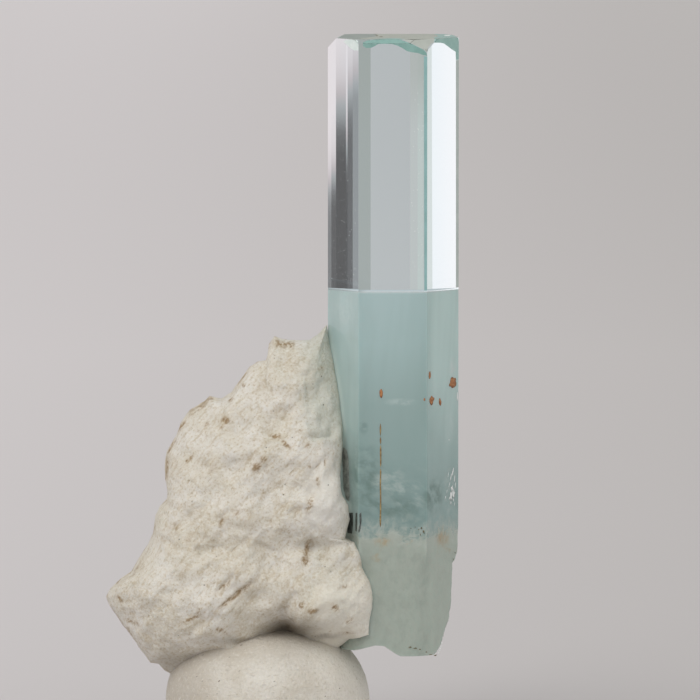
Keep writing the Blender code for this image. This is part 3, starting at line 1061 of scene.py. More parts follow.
@dataclass
class FaceMarks:
    """Low domes on the crystal's faces, all of one finish, in one mesh.

    A mark's edge is an ellipse whose radius wanders by noise. Its middle rises
    a few micrometres above the face and an apex below the face closes it.
    """

    name: str
    finish: MarkFinish
    marks: list
    prism: BerylPrism
    corners: int = 18
    rise: float = 0.012
    sink: float = 0.03
    clearance: float = 0.002

    def build(self) -> bpy.types.Object:
        """Mesh of all the marks."""
        x, z, wide, high, lean, ragged = np.array([
            (m.x, m.z, m.half_width, m.half_height, m.lean, m.ragged) for m in self.marks]).T
        middle, normals = np.array([self.prism.face(m.side) for m in self.marks]).swapaxes(0, 1)
        across = np.cross(UP, normals)
        centre = middle + across * ((x - middle[:, 0]) / across[:, 0])[:, None]
        centre[:, 2] = z
        angle = np.linspace(0.0, 2 * np.pi, self.corners, endpoint=False)[None]
        seat = np.stack([np.cos(angle) * 1.3 + 5.0 * x[:, None], np.sin(angle) * 1.3 + z[:, None],
                         np.full((len(z), self.corners), 0.5)], axis=-1)
        radius = 1.0 + ragged[:, None] * 1.4 * soft_noise(seat * 1.3, Seed.MARK_EDGE)
        u, v = np.cos(angle) * radius * wide[:, None], np.sin(angle) * radius * high[:, None]
        cos, sin = np.cos(np.radians(lean))[:, None], np.sin(np.radians(lean))[:, None]
        u, v = u * cos - v * sin, u * sin + v * cos
        ring = (centre[:, None] + across[:, None] * u[..., None] + UP * v[..., None]
                + normals[:, None] * self.clearance)
        inner = centre[:, None] + (ring - centre[:, None]) * 0.6 + normals[:, None] * self.rise
        root = (centre - normals * self.sink)[:, None]
        peak = (centre + normals * self.rise * 1.1)[:, None]
        points = np.concatenate([ring, inner, root, peak], axis=1)
        faces = [face for i in range(len(self.marks))
                 for face in tube_faces(2, self.corners, i * points.shape[1])]
        return solid_mesh(self.name, points.reshape(-1, 3), faces, [self.finish.make()])


@dataclass
class Film:
    """Thin film on the crystal, drawn by its outline and draped over the faces.

    A film on the top is drawn in plan and lies flat. Any other is drawn as seen
    from the front, and its depth is the crystal's own depth there.
    """

    name: str
    finish: MarkFinish
    outlines: list
    prism: BerylPrism
    spacing: float = 0.14
    rise: float = 0.004
    on_top: bool = False
    sink: float = 0.02

    def fill(self, outline: np.ndarray) -> tuple[np.ndarray, np.ndarray]:
        """Triangles that fill an outline, with a lattice of points inside it.

        A lattice point is inside where a ray from it crosses the outline an odd
        number of times.

        Args:
            outline: corners in order, shape (n, 2).

        Returns:
            Points, and triangles as rows of three indices.
        """
        low, high = outline.min(axis=0), outline.max(axis=0)
        lattice = np.stack(np.meshgrid(np.arange(low[0], high[0], self.spacing),
                                       np.arange(low[1], high[1], self.spacing)), axis=-1)
        lattice = lattice.reshape(-1, 2)
        start, end = outline, np.roll(outline, -1, axis=0)
        above = (start[:, 1] > lattice[:, 1:2]) != (end[:, 1] > lattice[:, 1:2])
        rise = np.where(end[:, 1] == start[:, 1], 1e-9, end[:, 1] - start[:, 1])
        across = start[:, 0] + (lattice[:, 1:2] - start[:, 1]) * (end[:, 0] - start[:, 0]) / rise
        inside = lattice[np.sum(above & (lattice[:, :1] < across), axis=1) % 2 == 1]
        points = [Vector(p) for p in np.concatenate([outline, inside]).tolist()]
        edges = [(i, (i + 1) % len(outline)) for i in range(len(outline))]
        made = delaunay_2d_cdt(points, edges, [], 1, 1e-5)
        return np.array([tuple(p) for p in made[0]]), np.array(made[2])

    def build(self) -> bpy.types.Object:
        """Front and back sheets of every film, joined round their rims."""
        points, faces, start = [], [], 0
        for outline in self.outlines:
            flat, triangles = self.fill(np.array(outline))
            if self.on_top:
                place = np.column_stack([flat, np.full(len(flat), self.prism.top)])
                out = UP
            else:
                depth = self.prism.drape(flat[:, 0], flat[:, 1])
                place = np.column_stack([flat[:, 0], depth, flat[:, 1]])
                out = np.array([0.0, -1.0, 0.0])
            points += [place + out * self.rise, place - out * self.sink]
            known = {tuple(side) for pair in ([0, 1], [1, 2], [2, 0])
                     for side in triangles[:, pair].tolist()}
            rim = np.array([side for side in known if side[::-1] not in known])
            count = len(flat)
            walls = np.stack([rim[:, 1], rim[:, 0], rim[:, 0] + count, rim[:, 1] + count], axis=-1)
            for part in (triangles, triangles[:, ::-1] + count, walls):
                faces += (part + start).tolist()
            start += 2 * count
        return solid_mesh(self.name, np.concatenate(points), faces, [self.finish.make()],
                          smooth=False)


@dataclass
class GrowthTube:
    """Thin iron-filled tube just under the front face, broken in places."""

    prism: BerylPrism
    x: float = 7.11
    spans: list = field(default_factory=lambda: [
        (16.0, 20.2), (20.3, 21.9), (21.95, 22.5), (22.55, 23.45)])
    radius: float = 0.052
    columns: int = 8
    ring_gap: float = 0.2
    end_length: float = 0.15

    def build(self) -> bpy.types.Object:
        """Cylinder along each span: rings of points about a wavering line."""
        angle = np.linspace(0.0, 2 * np.pi, self.columns, endpoint=False)
        points, faces, start = [], [], 0
        front = self.prism.plan["front_left"][1]
        for low, high in self.spans:
            z = np.linspace(low, high, max(4, round((high - low) / self.ring_gap)))
            line = np.stack([self.x + 0 * z, front + 0 * z, z], axis=-1)
            sway = soft_noise(line * np.array([1.0, 1.0, 1.1]), Seed.TUBE_SWAY)[:, None]
            taper = np.clip(np.minimum(z - low, high - z) / self.end_length, 0.15, 1.0)
            radius = taper * self.radius * (1.0 + 0.3 * soft_noise(line * 4.0, Seed.TUBE_TAPER))
            radius = radius[:, None]
            ring = np.stack([self.x + 0.02 * sway + np.cos(angle) * radius,
                             front + np.sin(angle) * radius * 0.5,
                             z[:, None] + 0 * angle], axis=-1)
            points += [ring.reshape(-1, 3), line[[0, -1]]]
            faces += tube_faces(len(z), self.columns, start)
            start += len(z) * self.columns + 2
        return solid_mesh("growth_tube", np.concatenate(points), faces, [TUBE_RUST.make()])


# --------------------------------------------------------------- feldspar


@dataclass(frozen=True)
class Sheet:
    """Front or back surface of the lump, as its depth from the middle plane."""

    side: float
    depth: float
    noise_at: float
    # Swells and hollows: (x, z, half-width, half-height, amount).
    swells: tuple
    # Ledges: (x, z, compass of the upper side, width, height).
    ledges: tuple
    # Cleavage faces: (x, z, compass it falls towards, fall per mm, depth there).
    facets: tuple

    def thickness(self, x: np.ndarray, z: np.ndarray, floor: float) -> np.ndarray:
        """Distance from the middle plane.

        Bells are added to an even depth, each ledge takes away its height over
        a logistic step, facets cut the depth down, and layered noise wrinkles it.

        Args:
            x, z: points seen from the front.
            floor: least depth that a facet may cut to.

        Returns:
            The depth at each point.
        """
        depth = np.full(x.shape, self.depth)
        for cx, cz, wide, high, amount in self.swells:
            depth += amount * patch(x, z, (cx, cz), (wide, high))
        for cx, cz, angle, width, height in self.ledges:
            above, _ = turned(x - cx, z - cz, compass(angle))
            above = above + 0.35 * np.sin(1.7 * x + 0.9 * z)
            depth -= height / (1.0 + np.exp(-4.0 * above / width))
        for cx, cz, angle, fall, level in self.facets:
            out, _ = turned(x - cx, z - cz, compass(angle))
            depth = np.minimum(depth, np.maximum(level - fall * out, floor))
        at = np.stack([x * 0.42, 0 * x + self.noise_at, z * 0.42], axis=-1)
        return depth + 0.34 * layered_noise(at, 3, Seed.LUMP_DEPTH)


FRONT_SHEET = Sheet(
    side=-1.0, depth=4.9, noise_at=0.0,
    swells=(
        (3.4, 10.3, 2.6, 2.6, 1.5), (-4.5, 12.0, 4.6, 3.6, 1.0), (2.9, 18.8, 2.2, 2.8, 0.5),
        (-1.6, 18.0, 3.6, 3.0, 0.4), (0.3, 7.3, 3.6, 1.4, -2.6), (0.1, 8.5, 1.3, 1.1, -1.2),
        (-1.0, 13.4, 1.6, 1.3, -0.3),
        (-6.0, 7.2, 2.2, 1.4, 0.9), (0.1, 9.3, 0.7, 1.2, -0.8),
        (3.9, 18.2, 1.1, 3.0, 0.55), (2.3, 18.0, 0.6, 3.4, -0.45), (4.6, 26.0, 1.9, 3.4, -1.9),
        (2.6, 14.7, 1.9, 0.45, -0.6), (-6.2, 14.4, 1.6, 0.6, -0.35), (-2.4, 17.4, 1.0, 2.2, 0.35),
        (-5.6, 11.0, 1.2, 2.2, 0.3), (0.4, 20.6, 1.6, 1.2, 0.3), (-1.4, 11.2, 2.4, 0.6, -0.3)),
    ledges=(
        (0.0, 22.7, 96.0, 0.8, 0.75), (-3.0, 25.0, 112.0, 0.9, 0.5),
        (-2.0, 15.6, 128.0, 0.7, 0.35), (-6.0, 17.2, 133.0, 0.6, 0.35)),
    facets=(
        (-8.5, 9.5, 205.0, 0.45, 4.4), (-6.0, 21.5, 140.0, 0.40, 4.3),
        (2.6, 26.0, 60.0, 0.30, 3.7), (-3.0, 7.6, 262.0, 0.90, 5.0),
        (5.4, 8.8, 300.0, 0.50, 4.9), (-2.0, 26.5, 150.0, 0.45, 3.7)))
BACK_SHEET = Sheet(
    side=1.0, depth=5.2, noise_at=31.0,
    swells=(
        (-3.0, 11.5, 4.0, 3.6, 0.9), (1.5, 20.5, 3.2, 3.0, 0.6),
        (-6.0, 19.5, 2.6, 2.6, -0.5), (2.6, 12.0, 2.2, 2.4, -0.6)),
    ledges=((0.0, 23.4, 80.0, 1.0, 0.9), (-3.0, 16.4, 60.0, 0.8, 0.6)),
    facets=(
        (-7.0, 11.0, 200.0, 0.40, 4.8), (-4.5, 21.5, 130.0, 0.45, 4.6),
        (2.0, 25.5, 70.0, 0.30, 4.2), (-2.0, 8.0, 275.0, 0.70, 5.0),
        (-8.0, 17.5, 165.0, 0.40, 4.0), (1.0, 15.0, 15.0, 0.22, 5.4)))


@dataclass
class FeldsparLump:
    """Broken lump of feldspar, seen as two sheets that meet at an outline."""

    prism: BerylPrism
    centre: Pair = (-1.4, 16.1)
    outline: list = field(default_factory=lambda: [
        (3.25, 30.2), (3.5, 28.8), (3.7, 27.7), (4.0, 26.2), (4.2, 24.8), (4.4, 23.0),
        (4.4, 21.9), (4.3, 20.8), (4.2, 18.8), (4.35, 18.2), (4.8, 17.5), (4.9, 16.5),
        (4.6, 15.1), (5.25, 14.9), (5.5, 14.4), (5.7, 13.9), (5.8, 13.1), (6.3, 12.1),
        (6.5, 11.3), (6.5, 10.3), (6.35, 9.2), (6.3, 8.2), (4.9, 7.8), (3.9, 6.9),
        (2.4, 5.9), (0.2, 5.6), (-1.9, 5.6), (-4.1, 5.6), (-5.9, 5.6), (-6.8, 5.3),
        (-7.9, 4.8), (-8.4, 5.1), (-8.9, 5.6), (-9.5, 5.7), (-10.1, 6.6), (-10.8, 7.6),
        (-11.4, 8.3), (-12.1, 9.3), (-12.5, 9.8), (-12.7, 10.4), (-12.4, 11.0),
        (-11.7, 11.7), (-10.9, 12.15), (-10.3, 13.2), (-9.7, 14.1), (-9.3, 15.0),
        (-9.1, 16.4), (-8.8, 17.0), (-8.2, 17.5), (-8.2, 18.3), (-8.4, 19.1),
        (-8.45, 20.1), (-8.3, 21.0), (-7.6, 22.2), (-7.3, 23.0), (-6.6, 24.0),
        (-5.6, 24.6), (-5.2, 25.0), (-4.3, 24.8), (-3.6, 25.3), (-3.1, 26.1),
        (-2.3, 27.2), (-1.7, 27.6), (-1.05, 27.7), (-0.9, 28.8), (-0.5, 29.4),
        (0.1, 29.2), (1.3, 29.1), (2.1, 29.1), (2.6, 29.5)])
    split: int = 6
    rings: int = 110
    smoothing: int = 26
    facet_floor: float = 1.6
    rim_wander: float = 1.8
    # The rim's gap to the crystal's side, and the least gap anywhere.
    rim_gap: float = 0.12
    least_gap: float = 0.02
    fade_width: float = 4.0
    grain_lean: float = 48.0
    sharp: float = 55.0
    # Where the crystal's light reaches: middle x, and half-widths of none and full.
    cool_x: float = 3.7
    cool_widths: Pair = (3.0, 0.9)
    cool_low: float = 0.25
    cool_heights: Pair = (21.5, 23.0)
    # Brown stains: (x, z, half-length, half-width, lean, strength).
    stains: list = field(default_factory=lambda: [
        (-0.46, 29.46, 0.43, 0.17, 0, 1), (-0.97, 28.88, 0.36, 0.14, 80, 0.8),
        (-1.90, 27.59, 0.36, 0.16, 20, 0.8), (-2.55, 26.79, 0.65, 0.17, 50, 0.6),
        (-5.14, 24.98, 0.36, 0.16, 0, 0.8), (-5.65, 24.55, 0.29, 0.22, 45, 0.6),
        (-6.51, 23.97, 0.43, 0.29, 50, 0.9), (-7.24, 22.89, 0.58, 0.22, 55, 0.8),
        (-7.96, 21.59, 0.65, 0.22, 55, 0.8), (-8.32, 20.07, 1, 0.19, 90, 0.9),
        (-12.37, 11.30, 0.43, 0.17, 50, 0.8), (-12.59, 10.36, 0.43, 0.14, 90, 0.7),
        (-11.66, 8.76, 0.58, 0.17, -52, 0.7), (-10.51, 7.09, 0.58, 0.14, -52, 0.7),
        (-9.36, 5.86, 0.36, 0.14, -10, 0.7), (-8.35, 5.27, 0.5, 0.14, -40, 0.7),
        (-9.12, 16.88, 0.43, 0.16, 65, 0.7), (-9.41, 15.43, 0.43, 0.14, 70, 0.6),
        (-10.28, 13.55, 0.5, 0.16, 55, 0.6), (-3.58, 24.89, 0.41, 0.2, 75, 0.7),
        (-4.01, 23.53, 0.41, 0.28, 40, 0.9), (-4.3, 23.02, 0.25, 0.18, 60, 0.7),
        (-5.94, 22.74, 0.16, 0.13, 0, 0.8), (-5.37, 23.17, 0.25, 0.14, 60, 0.7),
        (-2.72, 26.04, 0.18, 0.14, -60, 0.9), (-0.36, 22.52, 0.41, 0.15, -15, 1),
        (0.35, 22.02, 0.49, 0.14, -42, 0.9), (-1.22, 21.01, 0.25, 0.21, 0, 0.9),
        (-1.73, 20.44, 0.41, 0.28, 30, 0.8), (-1.72, 21.37, 0.25, 0.14, 70, 0.6),
        (-6.45, 20.87, 0.25, 0.14, 60, 0.9), (-6.66, 20.58, 0.16, 0.13, 0, 0.9),
        (-7.81, 20.29, 0.67, 0.45, 80, 0.5), (-4.88, 20.15, 0.57, 0.36, 40, 0.35),
        (2.86, 27.26, 0.33, 0.18, 20, 0.6), (3.86, 27.41, 0.14, 0.13, 0, 1),
        (1.35, 23.02, 0.25, 0.15, 0, 0.6), (1.85, 21.95, 0.33, 0.16, 20, 0.5),
        (3.21, 20.87, 0.57, 0.13, 85, 0.7), (2.64, 19.43, 0.41, 0.13, 85, 0.6),
        (2, 20.51, 0.16, 0.18, 0, 0.6), (2.07, 17.77, 0.75, 0.29, 72, 0.6),
        (1.21, 17.41, 0.33, 0.18, 60, 0.5), (1.85, 14.39, 0.75, 0.2, 75, 0.9),
        (1.71, 13.74, 0.33, 0.28, 60, 0.9), (-3.24, 11.29, 1.6, 0.2, 38, 0.8),
        (-3.96, 10.71, 0.33, 0.18, 40, 0.8), (-4.1, 11.94, 0.75, 0.16, 40, 0.6),
        (-4.24, 16.48, 0.41, 0.18, 60, 0.7), (-3.09, 17.13, 0.49, 0.18, 40, 0.4),
        (-7.75, 15.97, 0.49, 0.36, 60, 0.7), (-8.17, 16.33, 0.25, 0.14, 30, 0.6),
        (-6.4, 9.56, 0.75, 0.15, 25, 0.8), (-5.89, 10.14, 0.33, 0.13, 60, 0.7),
        (-10.98, 9.63, 0.49, 0.45, 60, 0.6), (-10.77, 8.91, 0.57, 0.18, -15, 0.9),
        (-11.63, 10.57, 0.33, 0.18, -60, 0.7), (-11.77, 11.65, 0.33, 0.15, 70, 0.8),
        (-12.27, 11.72, 0.41, 0.18, 50, 0.7), (-4.39, 8.77, 0.25, 0.18, 30, 1),
        (-3.96, 8.48, 0.33, 0.15, -60, 0.6), (1.56, 10.57, 0.25, 0.21, 0, 0.9),
        (2.28, 10.21, 0.41, 0.18, 10, 0.8), (3.85, 10.43, 0.33, 0.28, -40, 0.7),
        (4.93, 9.34, 0.33, 0.28, -50, 0.7), (4.57, 11.87, 0.57, 0.15, 10, 0.5),
        (4.79, 8.41, 0.75, 0.18, 0, 0.6), (-9.55, 7.83, 0.67, 0.13, -35, 0.7),
        (-10.12, 12.95, 0.49, 0.28, 50, 0.35), (-9.26, 12.59, 0.25, 0.18, 0, 0.5),
        (-8.96, 17.41, 0.33, 0.18, 60, 0.6), (-10.26, 13.67, 0.33, 0.18, 50, 0.5),
        (-6.53, 15.11, 0.67, 0.36, 0, 0.35), (-0.8, 16.55, 0.25, 0.18, -30, 0.4)])
    # Grooves along cleavage: (x, z) at both ends, width and depth.
    grooves: list = field(default_factory=lambda: [
        (-4.39, 10.35, -1.95, 12.37, 0.20, 0.20), (-4.82, 11.36, -3.31, 12.73, 0.18, 0.12),
        (1.78, 13.09, 2.21, 15.11, 0.20, 0.18), (1.93, 26.76, 2.14, 23.17, 0.24, 0.12),
        (2.10, 22.55, 4.00, 22.74, 0.24, 0.45), (-0.65, 22.52, 0.64, 21.80, 0.13, 0.12),
        (-1.87, 15.04, -0.37, 14.25, 0.24, 0.25), (-6.10, 14.75, -5.39, 13.60, 0.22, 0.16),
        (-1.09, 12.01, -0.59, 13.31, 0.22, 0.15), (-7.11, 7.90, -3.81, 10.79, 0.36, 0.15),
        (-2.95, 17.63, -1.37, 18.71, 0.30, 0.12), (0.35, 16.91, 1.35, 17.63, 0.30, 0.12),
        (2.78, 13.67, 3.21, 14.53, 0.28, 0.28), (0.20, 9.92, 1.06, 11.51, 0.36, 0.30),
        (-9.77, 8.12, -7.12, 7.18, 0.30, 0.14), (-8.68, 15.11, -6.89, 14.25, 0.30, 0.14)])
    # Painted shade in the hollows under the lump: (x, z, half-width, half-height, strength).
    hollows: list = field(default_factory=lambda: [
        (0.5, 8.7, 1.9, 0.9, 0.85), (0.2, 9.5, 0.6, 0.7, 0.4), (-2.8, 7.8, 1.9, 0.35, 0.5),
        (-6.6, 6.3, 1.0, 0.6, 0.45), (-7.8, 6.0, 1.5, 1.0, 0.35), (3.0, 8.1, 1.2, 0.3, 0.5)])

    def rim(self) -> np.ndarray:
        """Outline points, each side split into equal parts."""
        corners = np.array(self.outline)
        t = (np.arange(self.split) / self.split)[None, :, None]
        after = np.roll(corners, -1, axis=0)
        return (corners[:, None] + (after - corners)[:, None] * t).reshape(-1, 2)

    def rim_depth(self, x: np.ndarray, z: np.ndarray) -> np.ndarray:
        """Depth of the rim: along the crystal on the right, free elsewhere.

        Args:
            x, z: the rim's points seen from the front.

        Returns:
            y of each point.
        """
        left, front = self.prism.plan["left"], self.prism.plan["front_left"]
        fade = np.clip((left[0] - x) / self.fade_width, 0.0, 1.0)
        seat = np.stack([x * 0.3, 0 * x + 7.0, z * 0.3], axis=-1)
        free = self.rim_wander * fade * soft_noise(seat, Seed.RIM_WANDER)
        share = np.clip((x - left[0]) / (front[0] - left[0]), 0.0, 1.0)
        held = left[1] + share * (front[1] - left[1]) - self.rim_gap
        return np.where(x <= left[0], free - self.rim_gap * (1.0 - fade), held)

    def sheet(self, shape: Sheet) -> tuple[np.ndarray, np.ndarray]:
        """Points of one sheet, in rings from its pole to the rim.

        Ring u has radius s = 1 - (1 - u)^1.7 of the outline, and its depth is
        (1 - s^8)^0.5 of the thickness. The radius eases to a smoothed outline
        away from the rim.

        Args:
            shape: the front or the back sheet.

        Returns:
            Points, shape (rings, points in a ring, 3), and each one's s.
        """
        rim, centre = self.rim(), np.array(self.centre)
        reach = np.linalg.norm(rim - centre, axis=1)
        smooth = ring_average(reach, self.smoothing)
        u = np.linspace(0.012, 1.0, self.rings)[:, None]
        s = 1.0 - (1.0 - u) ** 1.7
        g = np.sqrt(np.maximum(0.0, 1.0 - s ** 8))
        share = s ** 10
        scale = s * (share + (1.0 - share) * (smooth / reach))
        x, z = (centre[k] + (rim[:, k] - centre[k]) * scale for k in (0, 1))
        depth = shape.side * shape.thickness(x, z, self.facet_floor)
        y = self.rim_depth(rim[:, 0], rim[:, 1]) * (1.0 - g) + depth * g
        return np.stack([x, y, z], axis=-1), s + 0 * x

    def relief(self, p: np.ndarray) -> np.ndarray:
        """Height of the broken surface.

        It adds ribs that run up to the right, soft knobs, small cleaved grains
        and fine crumbs.

        Args:
            p: points of the lump, shape (..., 3).

        Returns:
            Height in millimetres at each point.
        """
        along, across = turned(p[..., 0], p[..., 2], compass(self.grain_lean))
        ribs = np.stack([along * 0.26, p[..., 1] * 0.5, across * 0.95], axis=-1)
        grains = np.stack([along * 1.1, p[..., 1] * 1.6, across * 1.9], axis=-1)
        grains = grains + 0.4 * soft_noise(p * 1.3, Seed.GRAIN_WARP)[..., None]
        return (0.13 * layered_noise(ribs, 3, Seed.RIBS)
                + 0.06 * layered_noise(p * 0.9, 2, Seed.KNOBS)
                + 0.03 * cleaved(grains, Seed.GRAINS)
                + 0.035 * layered_noise(p * 2.8, 2, Seed.CRUMBS))

    def groove_map(self, p: np.ndarray) -> np.ndarray:
        """Depth of the grooves on the front: a rounded trough along each line.

        Args:
            p: points of the lump, shape (..., 3).

        Returns:
            Depth in millimetres at each point.
        """
        total = np.zeros(p.shape[:-1])
        for x0, z0, x1, z1, width, depth in self.grooves:
            way = np.array([x1 - x0, z1 - z0])
            long = float(np.linalg.norm(way))
            u, v = turned(p[..., 0] - x0, p[..., 2] - z0, way / long)
            ends = smooth_step(-0.25, 0.35, u) * smooth_step(long + 0.25, long - 0.35, u)
            total = np.maximum(total, depth * ends * np.exp(-(v / width) ** 2))
        return total * (p[..., 1] < 1.0)

    def push_out(self, p: np.ndarray) -> np.ndarray:
        """Move points that lie in the crystal out to its nearest left face.

        Args:
            p: points of the lump, shape (..., 3).

        Returns:
            The points, no nearer to the crystal than the least gap.
        """
        normals, reach = self.prism.side_planes()
        normals = normals[:, :2]
        gap = reach + self.least_gap - p[..., :2] @ normals.T
        inside = (gap > 0).all(axis=-1)
        usable = (normals[:, 0] < 0.1) & (normals @ compass(195.0)[:2] > 0.2)
        pick = np.where(usable, gap, np.inf).argmin(axis=-1)
        move = np.take_along_axis(gap, pick[..., None], axis=-1) * normals[pick]
        out = p.copy()
        out[..., :2] += move * inside[..., None]
        return out

    def stain_map(self, p: np.ndarray, edge: np.ndarray) -> np.ndarray:
        """Strength of brown staining: listed patches and the weathered rim.

        Args:
            p: points of the lump, shape (..., 3).
            edge: each point's share of the way from its pole to the rim.

        Returns:
            Strength from 0 to 1 at each point.
        """
        total = 0.7 * smooth_step(0.93, 0.998, edge) * (p[..., 0] < 1.0)
        total = total * smooth_step(-0.2, 0.5, soft_noise(p * 0.9, Seed.RIM_STAIN))
        for x, z, long, wide, lean, strength in self.stains:
            spot = patch(p[..., 0], p[..., 2], (x, z), (long, wide), lean)
            total = np.maximum(total, strength * spot)
        gaps = soft_noise(p * np.array([0.5, 1.9, 1.5]), Seed.STAIN_GAPS)
        patchy = 0.45 + 0.55 * smooth_step(-0.25, 0.2, gaps)
        return total * np.where(edge > 0.75, patchy, 1.0)

    def hollow_shade_map(self, p: np.ndarray) -> np.ndarray:
        """Strength of the painted brown shade in the hollows under the front of the lump."""
        film = [strength * patch(p[..., 0], p[..., 2], (x, z), (wide, high))
                for x, z, wide, high, strength in self.hollows]
        return np.max(film, axis=0) * (p[..., 1] < 1.0)

    def cool_map(self, p: np.ndarray) -> np.ndarray:
        """Share of the crystal's light that reaches the rock beside it."""
        near = smooth_step(*self.cool_widths, np.abs(p[..., 0] - self.cool_x))
        grown = smooth_step(*self.cool_heights, p[..., 2])
        return near * (p[..., 1] < 1.0) * (self.cool_low + (1.0 - self.cool_low) * grown)

    def build(self) -> bpy.types.Object:
        """Closed, rough lump that fits against the crystal.

        The two sheets are joined at the rim, and each point is moved along the
        surface's own normal by its relief less the grooves.
        """
        (front, front_edge), (back, back_edge) = map(self.sheet, (FRONT_SHEET, BACK_SHEET))
        rings = np.concatenate([front, back[-2::-1]])
        edge = np.concatenate([front_edge, back_edge[-2::-1]])
        du = np.gradient(rings, axis=0)
        dv = np.roll(rings, -1, axis=1) - np.roll(rings, 1, axis=1)
        normal = np.cross(dv, du)
        normal /= np.maximum(np.linalg.norm(normal, axis=-1, keepdims=True), 1e-9)
        outward = np.sum(normal * (rings - rings.mean(axis=(0, 1))), axis=-1)
        normal *= np.sign(outward.mean())
        height = self.relief(rings) * (1.0 - 0.65 * smooth_step(0.90, 1.0, edge))
        rough = rings + normal * (height - self.groove_map(rings))[..., None]
        made = closed_mesh("feldspar_lump", self.push_out(rough), [Feldspar().make()],
                           self.sharp)
        paint(made, "stain", self.stain_map(rings, edge))
        paint(made, "cool", self.cool_map(rings))
        # Painted shade in the hollows under the lump.
        paint(made, "hollow_shade", self.hollow_shade_map(rings))
        return made


# ------------------------------------------------------------------ putty


@dataclass
class PuttyMound:
    """Mound of putty: a squashed ball, fullest near its foot, flat below."""

    centre_x: float = -1.0
    half_width: float = 7.4
    half_depth: float = 7.3
    top: float = 8.45
    waist: float = 2.6
    sunk: float = 2.2
    ring_power: float = 0.72
    rise_power: float = 0.86
    columns: int = 220
    rows: int = 120
    sharp: float = 60.0

    def build(self) -> bpy.types.Object:
        """Grid of latitude and turn.

        At height share up = sin(latitude) the ring's radius is
        cos(latitude)^0.72 and the height is waist + up^0.86 of the rise. Lobes
        of the turn flatten the mound a little, and noise dents it.
        """
        angle = np.linspace(-np.pi, np.pi, self.columns, endpoint=False)[None]
        lowest = -(1.0 / self.sunk) ** (1.0 / self.rise_power)
        latitude = np.linspace(math.asin(lowest), np.pi / 2 * 0.995, self.rows)[:, None]
        up = np.sin(latitude)
        ring = np.cos(latitude) ** self.ring_power
        lobes = 1.0 - 0.018 * (1.0 + np.cos(3 * angle + 0.6)) * np.abs(up)
        lobes = lobes - 0.012 * (1.0 - np.cos(4 * angle))
        rise = np.where(up > 0, self.top - self.waist, self.waist * self.sunk)
        z = self.waist + rise * np.sign(up) * np.abs(up) ** self.rise_power + 0 * angle
        p = np.stack([np.cos(angle) * ring * lobes * self.half_width,
                      np.sin(angle) * ring * lobes * self.half_depth, z], axis=-1)
        dents = (0.10 * soft_noise(p * 0.32, Seed.BROAD_DENTS)
                 + 0.035 * soft_noise(p * 1.1, Seed.FINE_DENTS))
        keep = smooth_step(0.0, 1.2, z)
        p[..., :2] *= (1.0 - np.abs(dents) * 0.12 * keep)[..., None]
        p[..., 0] += self.centre_x
        p[..., 2] = np.maximum(z + dents * 0.5 * keep * (z < self.top - 0.3), 0.0)
        return closed_mesh("putty_mound", p, [Putty().make()], self.sharp)


# ----------------------------------------------------------------- studio


